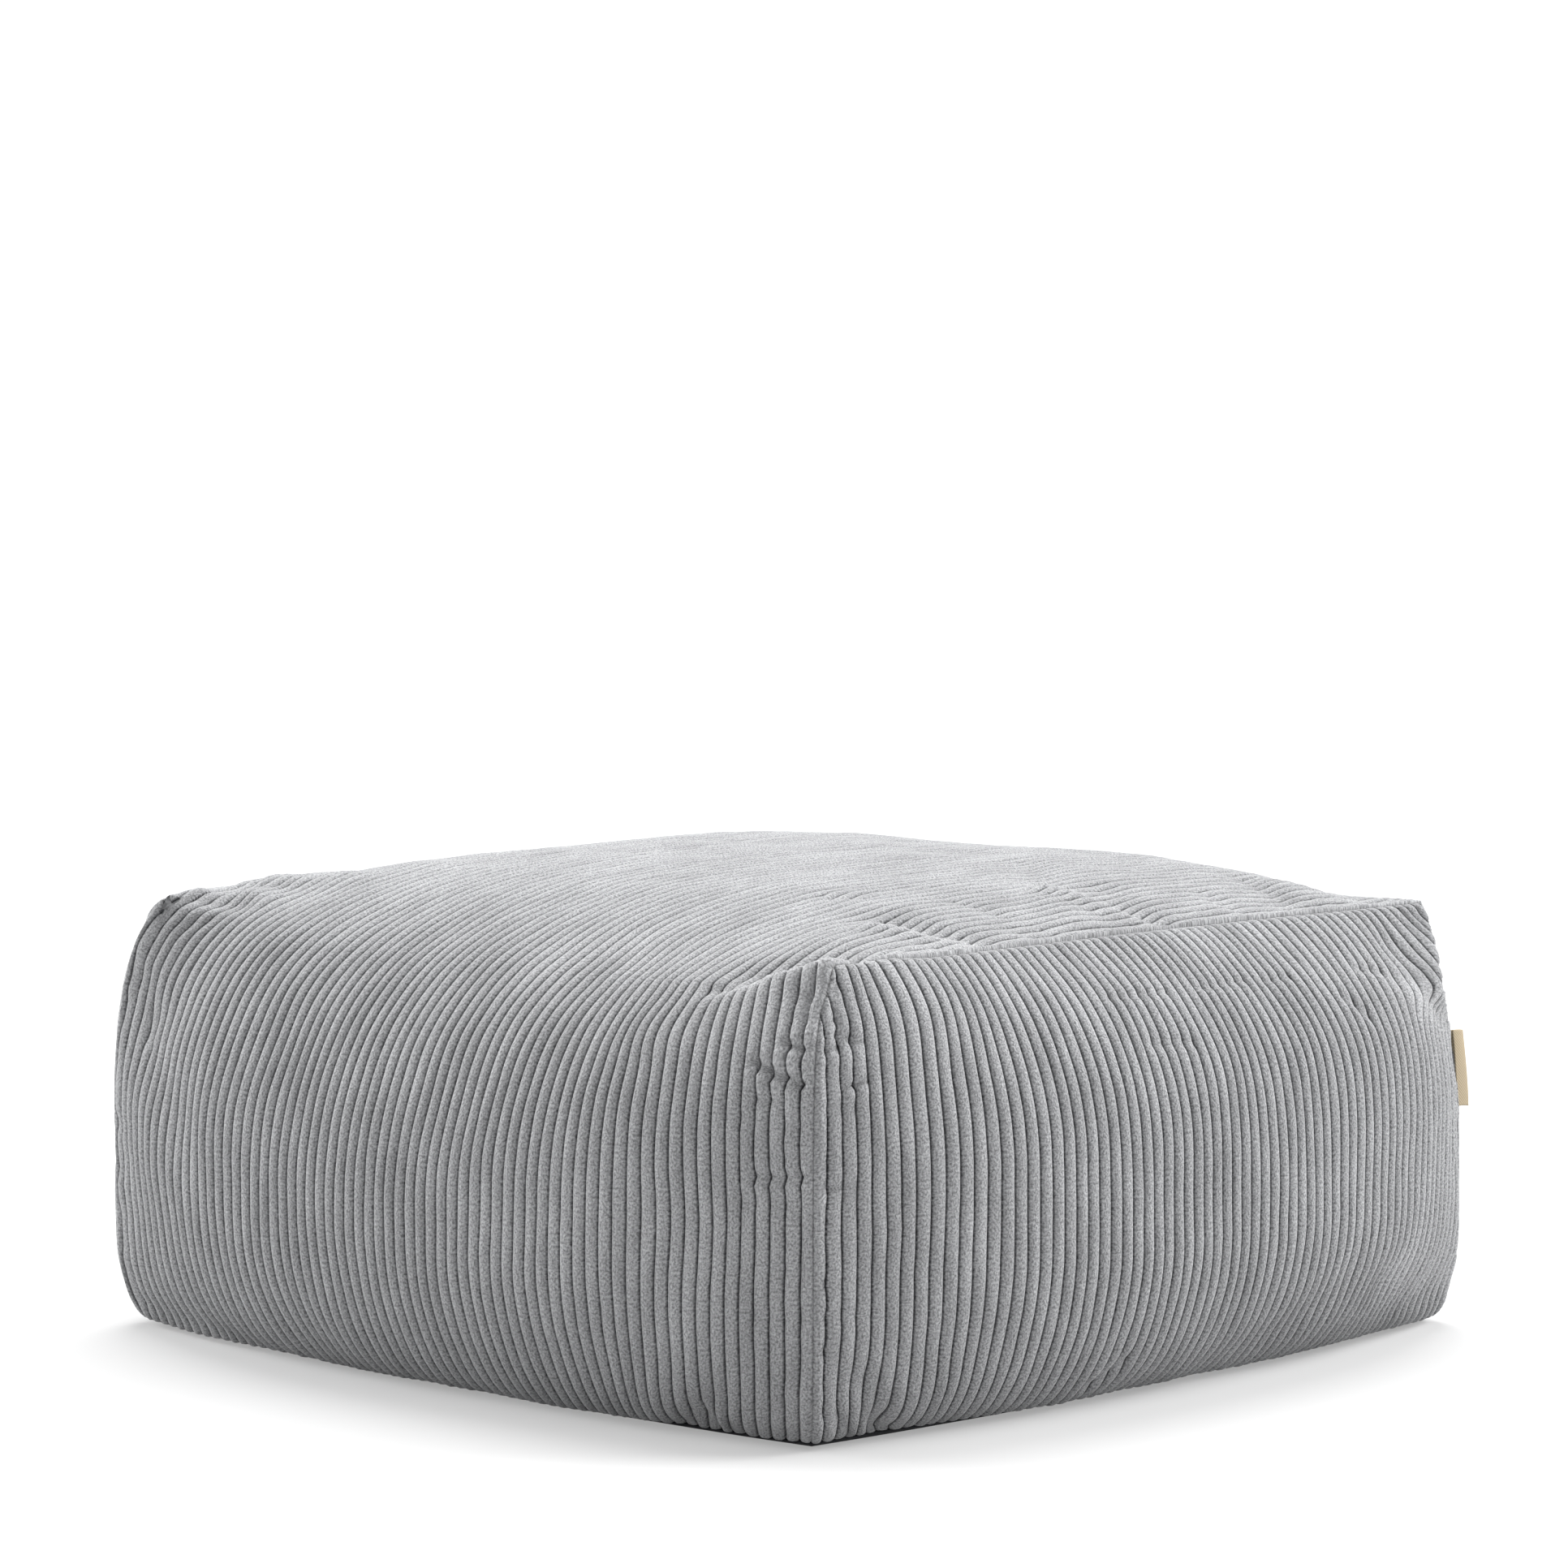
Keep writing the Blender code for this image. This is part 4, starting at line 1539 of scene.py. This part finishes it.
@dataclass
class WrapCover:
    """The filled body in its wrap panel: front, top and back in one length.

    Attributes:
        form: The form that it fills.
        weave: The corduroy.
        finish: The corduroy's material.
        side_rows: Rows up a corner seam.
        top_rows: Rows along a top seam.
        phases: The places of the columns within a rib.
        crowding: How far the rows along a top seam crowd to its ends, from 0 to 1.
        gap: Between the filling and the end panels.
        width, length: Of the wrap panel.
        turn: How far along the cloth its rows' turns by the left seam are rounded.
        closing: How far the pile closes over the last valley, in ribs.
        fill: How full of filling it is; not used.
        seed: For the cloth's unevenness.
    """

    form: Form
    weave: Weave
    finish: bpy.types.Material
    side_rows: int = 70
    top_rows: int = 78
    phases: tuple = (0, 0.08, 0.25, 0.5, 0.75, 0.92)
    crowding: float = 0.6
    gap: float = 0.0003
    width: float = 0.635
    length: float = 1.242
    turn: float = 0.026
    closing: float = 0.22
    fill: float = 0.8
    seed: int = 11

    def rows(self) -> tuple:
        """The places of the rows.

        Returns:
            The fractions at which they lie, of an upright seam and of a top seam.
        """
        even = np.linspace(0, 1, self.top_rows + 1)
        bunched = 0.5 - 0.5 * np.cos(math.pi * even)
        return crowded(self.side_rows), even + self.crowding * (bunched - even)

    def cloth(self) -> Cloth:
        """The wrap panel, creased and settled.

        Returns:
            The cloth, with no ribs yet.
        """
        counted = self.weave.columns(self.phases)
        sides, tops = self.rows()
        fractions = self.form.seam(End.RIGHT, sides, tops)[1]
        start = self.form.turn_under
        along = start + fractions * (self.length - start)
        places = self.weave.slid(counted, WRAP_PATHS, self.width, along)
        points = self.form.wrap(places, sides, tops)
        cloth = Cloth(Panel.WRAP, points, counted, places, start)
        cloth.soften(self.turn)
        cloth.press(ALL_CREASES)
        cloth.slacken(self.seed)
        cloth.settle(self.form, (0, -1))
        return cloth

    def filling(self, end: End, rim: np.ndarray) -> np.ndarray:
        """The filling's face behind an end panel.

        Args:
            end: The end.
            rim: The wrap panel's edge in that end's seam, up, over and down.

        Returns:
            Its points, by column and row.
        """
        sides, tops = self.rows()
        points = self.form.end(end, (tops * 2 - 1)[:, None], sides)
        sunk = points - outward_normals(points) * (self.weave.thickness + self.gap)
        self.form.stand(sunk, points[:, 0])
        sunk[0] = rim[: len(sides)]
        sunk[-1] = rim[: -len(sides) - 1 : -1]
        sunk[:, -1] = rim[len(sides) - 1 : 1 - len(sides)]
        return sunk

    def build(self) -> bpy.types.Object:
        """Builds the cover.

        Returns:
            The piece.
        """
        cloth = self.cloth()
        sides = self.rows()[0]
        face = cloth.rib(self.weave, self.seed + 5)
        face, counted = cloth.cut(face, self.form, self.weave)
        piece = PieceMesh("corduroy_cover")
        for end, column in ((End.LEFT, 0), (End.RIGHT, -1)):
            piece.add_plain_grid(self.filling(end, face[column]))
        # Along the top seam the pile closes over the last valley.
        beyond = cloth.places >= 1
        beyond[:, : len(sides)] = False
        beyond[:, -len(sides) :] = False
        counted[beyond] -= self.closing
        piece.add_grid(face, counted, cloth.along / self.weave.pitch)
        piece.weld()
        bmesh.ops.holes_fill(piece.mesh, edges=piece.rims(), sides=0)
        cover = piece.finish(self.finish)
        dress(cover, "corduroy", "cover_body")
        return cover


@dataclass
class EndPanel:
    """The corduroy panel that closes one end: ribbed outside and plain behind.

    Attributes:
        end: The end.
        form: The form that it lies on.
        weave: The corduroy.
        finish: The corduroy's material.
        rows: Rows from the hem to the top seam.
        phases: The places of the columns within a rib.
        back_columns, back_rows: The plain back's own grid.
        flat: The size to which the panel was cut.
        slack_seed, rib_seed: For the cloth's unevenness, less the end's sign.
    """

    end: End
    form: Form
    weave: Weave
    finish: bpy.types.Material
    rows: int = 112
    phases: tuple = (0, 0.06, 0.18, 0.34, 0.5, 0.66, 0.82, 0.94)
    back_columns: int = 64
    back_rows: int = 28
    flat: tuple = (0.643, 0.336)
    slack_seed: int = 30
    rib_seed: int = 40

    def cloth(self) -> Cloth:
        """The panel, creased and settled.

        Returns:
            The cloth, with no ribs yet.
        """
        counted = self.weave.columns(self.phases)
        rows = crowded(self.rows)
        start = self.form.turn_under
        paths = RIGHT_PATHS if self.end is End.RIGHT else LEFT_PATHS
        width, length = self.flat
        places = self.weave.slid(counted, paths, width, start + rows * length)
        points = self.form.end(self.end, places, rows)
        cloth = Cloth(self.end.panel, points, counted, places, start)
        cloth.press(ALL_CREASES)
        cloth.slacken(self.slack_seed + self.end.value)
        cloth.settle(self.form, (0,))
        return cloth

    def build(self) -> bpy.types.Object:
        """Builds the panel.

        Returns:
            The piece.
        """
        cloth = self.cloth()
        face = cloth.rib(self.weave, self.rib_seed + self.end.value)
        top = cloth.points[:, -1]
        face[:, -1] = top - self.form.outward(top) * self.weave.seam_sink
        face, counted = cloth.cut(face, self.form, self.weave)
        piece = PieceMesh(f"corduroy_end_{self.end.label}")
        piece.add_grid(face, counted, cloth.along / self.weave.pitch)
        piece.weld()
        front_rim = piece.rims()
        places = np.linspace(-1, 1, self.back_columns + 1)
        back = self.form.end(self.end, places[:, None], crowded(self.back_rows))
        back = back - outward_normals(back) * self.weave.thickness
        self.form.stand(back, back[:, 0])
        piece.add_plain_grid(back)
        back_rim = [edge for edge in piece.rims() if edge not in set(front_rim)]
        bmesh.ops.bridge_loops(piece.mesh, edges=front_rim + back_rim)
        panel = piece.finish(self.finish)
        dress(panel, "corduroy", f"end_panel_{self.end.label}")
        return panel


@dataclass
class BasePanel:
    """The dark cloth under the base, with its margin turned up to the corduroy.

    Attributes:
        form: The form that it lies under.
        finish: Its material.
        thickness: Of the cloth.
        gap: Between its turned-up edge and the corduroy.
        margin: The width of the margin that turns up.
        steps: Even steps across its middle.
        margin_steps: Steps across its margin.
        flat: The size to which it was cut.
    """

    form: Form
    finish: bpy.types.Material
    thickness: float = 0.0015
    gap: float = 0.0002
    margin: float = 0.012
    steps: int = 60
    margin_steps: int = 6
    flat: tuple = (0.67, 0.66)

    def fractions(self) -> np.ndarray:
        """The places of the grid's lines.

        Returns:
            The places, from 0 to 1, close together in the margins.
        """
        width = 2 * self.margin / self.flat[0]
        rim = np.linspace(0, width, self.margin_steps + 1)
        return np.concatenate([rim[:-1], np.linspace(width, 1 - width, self.steps), 1 - rim[-2::-1]])

    def outline(self) -> tuple:
        """The form's lower edge.

        Returns:
            Its front, back, left and right runs, as points.
        """
        lines = self.fractions() * 2 - 1
        ends = np.array([0.0, 1.0])
        wrap = self.form.wrap(lines[:, None], ends, ends)
        left, right = (
            self.form.end(end, lines[:, None], ends)[:, 0] for end in (End.LEFT, End.RIGHT)
        )
        return wrap[:, 0], wrap[:, -1], left, right

    def points(self) -> np.ndarray:
        """The underside: flat on the floor, with its rim up at the hem.

        Returns:
            Its points, by column and row.
        """
        front, back, left, right = self.outline()
        u = self.fractions()[:, None, None]
        v = self.fractions()[None, :, None]
        points = front[:, None] * (1 - v) + back[:, None] * v
        points = points + left[None] * (1 - u) + right[None] * u
        points = points - (1 - u) * ((1 - v) * front[0] + v * back[0])
        points = points - u * ((1 - v) * front[-1] + v * back[-1])
        size = np.array(self.flat)
        inward = np.minimum(np.minimum(u, 1 - u) * size[0], np.minimum(v, 1 - v) * size[1])[..., 0]
        turned = 1 - smooth_step(inward / self.margin)
        points[..., 2] = turned * (self.form.hem_height(points) - self.gap)
        return points

    def build(self) -> bpy.types.Object:
        """Builds the panel.

        Returns:
            The piece.
        """
        lines = self.fractions()
        piece = PieceMesh("base_cloth")
        piece.add_grid(self.points(), lines[:, None] * self.flat[0], lines * self.flat[1])
        panel = piece.finish(self.finish)
        if panel.data.polygons[0].normal.z > 0:
            panel.data.flip_normals()
        wall = panel.modifiers.new("cloth", "SOLIDIFY")
        wall.thickness = self.thickness
        wall.offset = -1
        dress(panel, "base_cloth", "base_panel")
        return panel


@dataclass
class TapeLoop:
    """The bare loop of tape, folded double and caught in the back right seam.

    Attributes:
        form: The form whose seam holds it.
        finish: Its material.
        middle: The height of its centre.
        tall: Its height.
        reach: How far it stands out of the seam.
        tucked: How far it runs on into the seam.
        thickness: Of the tape.
        loop: The radius of its middle line at the fold.
        heading: The way it points, from +X towards +Y.
        bow: How far its free edge bends aside.
        bow_change: How much more and less it bends towards its ends, and how fast.
        droop: How far its free edge drops.
        rows: Rows along its height.
        layer_steps, turn_steps: Steps along each layer, and round the fold.
    """

    form: Form
    finish: bpy.types.Material
    middle: float = 0.176
    tall: float = 0.052
    reach: float = 0.0105
    tucked: float = 0.003
    thickness: float = 0.0009
    loop: float = 0.0008
    heading: float = math.radians(86)
    bow: float = 0.0016
    bow_change: tuple = (0.5, 3)
    droop: float = 0.0010
    rows: int = 40
    layer_steps: int = 14
    turn_steps: int = 10

    def section(self) -> list:
        """The tape's middle line, out of the seam, round the fold and back.

        Returns:
            Its places, as distances out of the seam and beside it.
        """
        straight = np.linspace(-self.tucked, self.reach - self.loop, self.layer_steps)
        turns = np.linspace(math.pi / 2, -math.pi / 2, self.turn_steps + 1)[1:-1]
        line = [(out, self.loop) for out in straight]
        tip = self.reach - self.loop
        line += [(tip + self.loop * math.cos(a), self.loop * math.sin(a)) for a in turns]
        return line + [(out, -self.loop) for out in straight[::-1]]

    def build(self) -> bpy.types.Object:
        """Builds the loop.

        Returns:
            The piece.
        """
        share = np.linspace(-0.5, 0.5, self.rows + 1)
        heights = share * self.tall + self.middle
        post = self.form.post(End.RIGHT, 1)
        root = np.stack([np.interp(heights, post[:, 2], axis) for axis in post.T], axis=-1)
        out = np.array([math.cos(self.heading), math.sin(self.heading), 0])
        beside = np.array([out[1], -out[0], 0])
        change, rate = self.bow_change
        bow = self.bow * (1 + change * np.sin(rate * share))
        rows = []
        for far, wide in self.section():
            free = (max(far, 0) / self.reach) ** 2
            bend = bow * free
            drop = np.array([0, 0, -self.droop]) * free
            rows.append(root + out * far + beside * (wide - bend)[:, None] + drop)
        points = np.array(rows)
        piece = PieceMesh("tape_loop")
        travelled = lengths(points[:, 0])
        piece.add_grid(points, travelled[:, None], heights)
        loop = piece.finish(self.finish)
        wall = loop.modifiers.new("tape", "SOLIDIFY")
        wall.thickness = self.thickness
        wall.offset = 0
        dress(loop, "label_tape", "label")
        return loop


# ---- Studio ------------------------------------------------------------------------------


@dataclass(frozen=True)
class FarLight:
    """A soft light so far away that it falls evenly.

    Attributes:
        name: The light's name.
        towards: The direction in which it lies.
        strength: Its irradiance, square on.
        angle: How wide it is, in degrees.
    """

    name: str
    towards: tuple
    strength: float
    angle: float


@dataclass(frozen=True)
class Studio:
    """The camera, the pale floor and the soft light.

    Attributes:
        azimuth: The camera's direction from the front, towards +X, in degrees.
        distance: From the footstool's centre, on plan.
        height: Of the camera.
        pitch: How far it looks down, in degrees.
        lens: Its focal length, in millimetres.
        sensor: The width of its sensor, in millimetres.
        sight: How near and how far it sees.
        floor_size: The length of the floor's side.
        floor_colour: The colour of the floor in view.
        floor_glow: How far that floor glows of itself.
        bounce_colour: The colour of the floor that throws light back.
        bounce_depth: How far under the floor in view that one lies.
        sky: The brightness of the white surroundings.
        horizon: Their brightness low down, behind the floor.
        horizon_band: How high over the floor one passes into the other.
        lamps: The lights.
    """

    azimuth: float = 42.8
    distance: float = 3.8507
    height: float = 0.6948
    pitch: float = 4.808
    lens: float = 130.26
    sensor: float = 36
    sight: tuple = (0.05, 200)
    floor_size: float = 400.0
    floor_colour: tuple = (0.43, 0.43, 0.43)
    floor_glow: float = 0.35
    bounce_colour: tuple = (0.55, 0.55, 0.55)
    bounce_depth: float = 0.001
    sky: float = 0.45
    horizon: float = 1.1
    horizon_band: tuple = (0.08, 0.16)
    lamps: tuple = (
        FarLight("overhead", (-0.36, 0.34, 1.0), 3.6, 40),
        FarLight("left", (-0.95, -0.26, 0.30), 3.3, 40),
        FarLight("right", (0.52, 0.85, 0.58), 4.0, 40),
    )

    def camera(self) -> None:
        """Sets the scene's camera."""
        lens = bpy.data.cameras.new("camera")
        lens.lens = self.lens
        lens.sensor_width = self.sensor
        lens.clip_start, lens.clip_end = self.sight
        camera = bpy.data.objects.new("camera", lens)
        turn = math.radians(self.azimuth)
        camera.location = (
            self.distance * math.sin(turn),
            -self.distance * math.cos(turn),
            self.height,
        )
        camera.rotation_euler = (math.radians(90 - self.pitch), 0, turn)
        bpy.context.scene.collection.objects.link(camera)
        bpy.context.scene.camera = camera

    def floor(self, name: str, colour: tuple, glow: float) -> bpy.types.Object:
        """Lays a floor, which isn't part of the footstool.

        Args:
            name: Its name.
            colour: Its colour.
            glow: How far it glows of itself.

        Returns:
            The floor.
        """
        mesh = bmesh.new()
        bmesh.ops.create_grid(mesh, x_segments=1, y_segments=1, size=self.floor_size / 2)
        data = bpy.data.meshes.new(name)
        mesh.to_mesh(data)
        mesh.free()
        inputs = {
            "Base Color": opaque(colour),
            "Roughness": 1.0,
            "Specular IOR Level": 0.0,
            "Emission Color": (1, 1, 1, 1),
            "Emission Strength": glow,
        }
        data.materials.append(Shader(name).surface(inputs))
        floor = bpy.data.objects.new(name, data)
        bpy.context.scene.collection.objects.link(floor)
        return floor

    def floors(self) -> None:
        """Lays a bright floor to look at, and a darker one that throws light back."""
        seen = self.floor("studio_floor", self.floor_colour, self.floor_glow)
        seen.visible_diffuse = False
        seen.visible_shadow = False
        bounce = self.floor("studio_bounce", self.bounce_colour, 0.0)
        bounce.location.z = -self.bounce_depth
        bounce.visible_camera = False

    def lights(self) -> None:
        """Hangs the lights in white surroundings."""
        world = bpy.data.worlds.new("surroundings")
        world.use_nodes = True
        tree = world.node_tree
        background = tree.nodes["Background"]
        place = tree.nodes.new("ShaderNodeTexCoord")
        split = tree.nodes.new("ShaderNodeSeparateXYZ")
        band = tree.nodes.new("ShaderNodeMapRange")
        tree.links.new(place.outputs["Generated"], split.inputs[0])
        tree.links.new(split.outputs["Z"], band.inputs["Value"])
        tree.links.new(band.outputs["Result"], background.inputs["Strength"])
        low, high = self.horizon_band
        given = {"From Min": low, "From Max": high, "To Min": self.horizon, "To Max": self.sky}
        for key, setting in given.items():
            band.inputs[key].default_value = setting
        background.inputs["Color"].default_value = (1, 1, 1, 1)
        bpy.context.scene.world = world
        for lamp in self.lamps:
            light = bpy.data.lights.new(lamp.name, "SUN")
            light.energy = lamp.strength
            light.angle = math.radians(lamp.angle)
            hung = bpy.data.objects.new(lamp.name, light)
            hung.rotation_euler = Vector(lamp.towards).to_track_quat("Z", "Y").to_euler()
            bpy.context.scene.collection.objects.link(hung)

    def build(self) -> None:
        """Sets up the whole studio."""
        self.camera()
        self.floors()
        self.lights()
        bpy.context.scene.view_settings.view_transform = "Standard"


# ---- Build -------------------------------------------------------------------------------


def main() -> None:
    """Builds every piece."""
    logging.basicConfig(level=logging.INFO, format="%(name)s: %(message)s")
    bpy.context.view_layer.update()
    form, weave = Form(), Weave()
    corduroy = corduroy_material(CorduroyFinish())
    WrapCover(form, weave, corduroy).build()
    for end in End:
        EndPanel(end, form, weave, corduroy).build()
    BasePanel(form, woven_material(BaseClothFinish())).build()
    TapeLoop(form, tape_material(TapeFinish())).build()
    Studio().build()


if __name__ == "__main__":
    main()
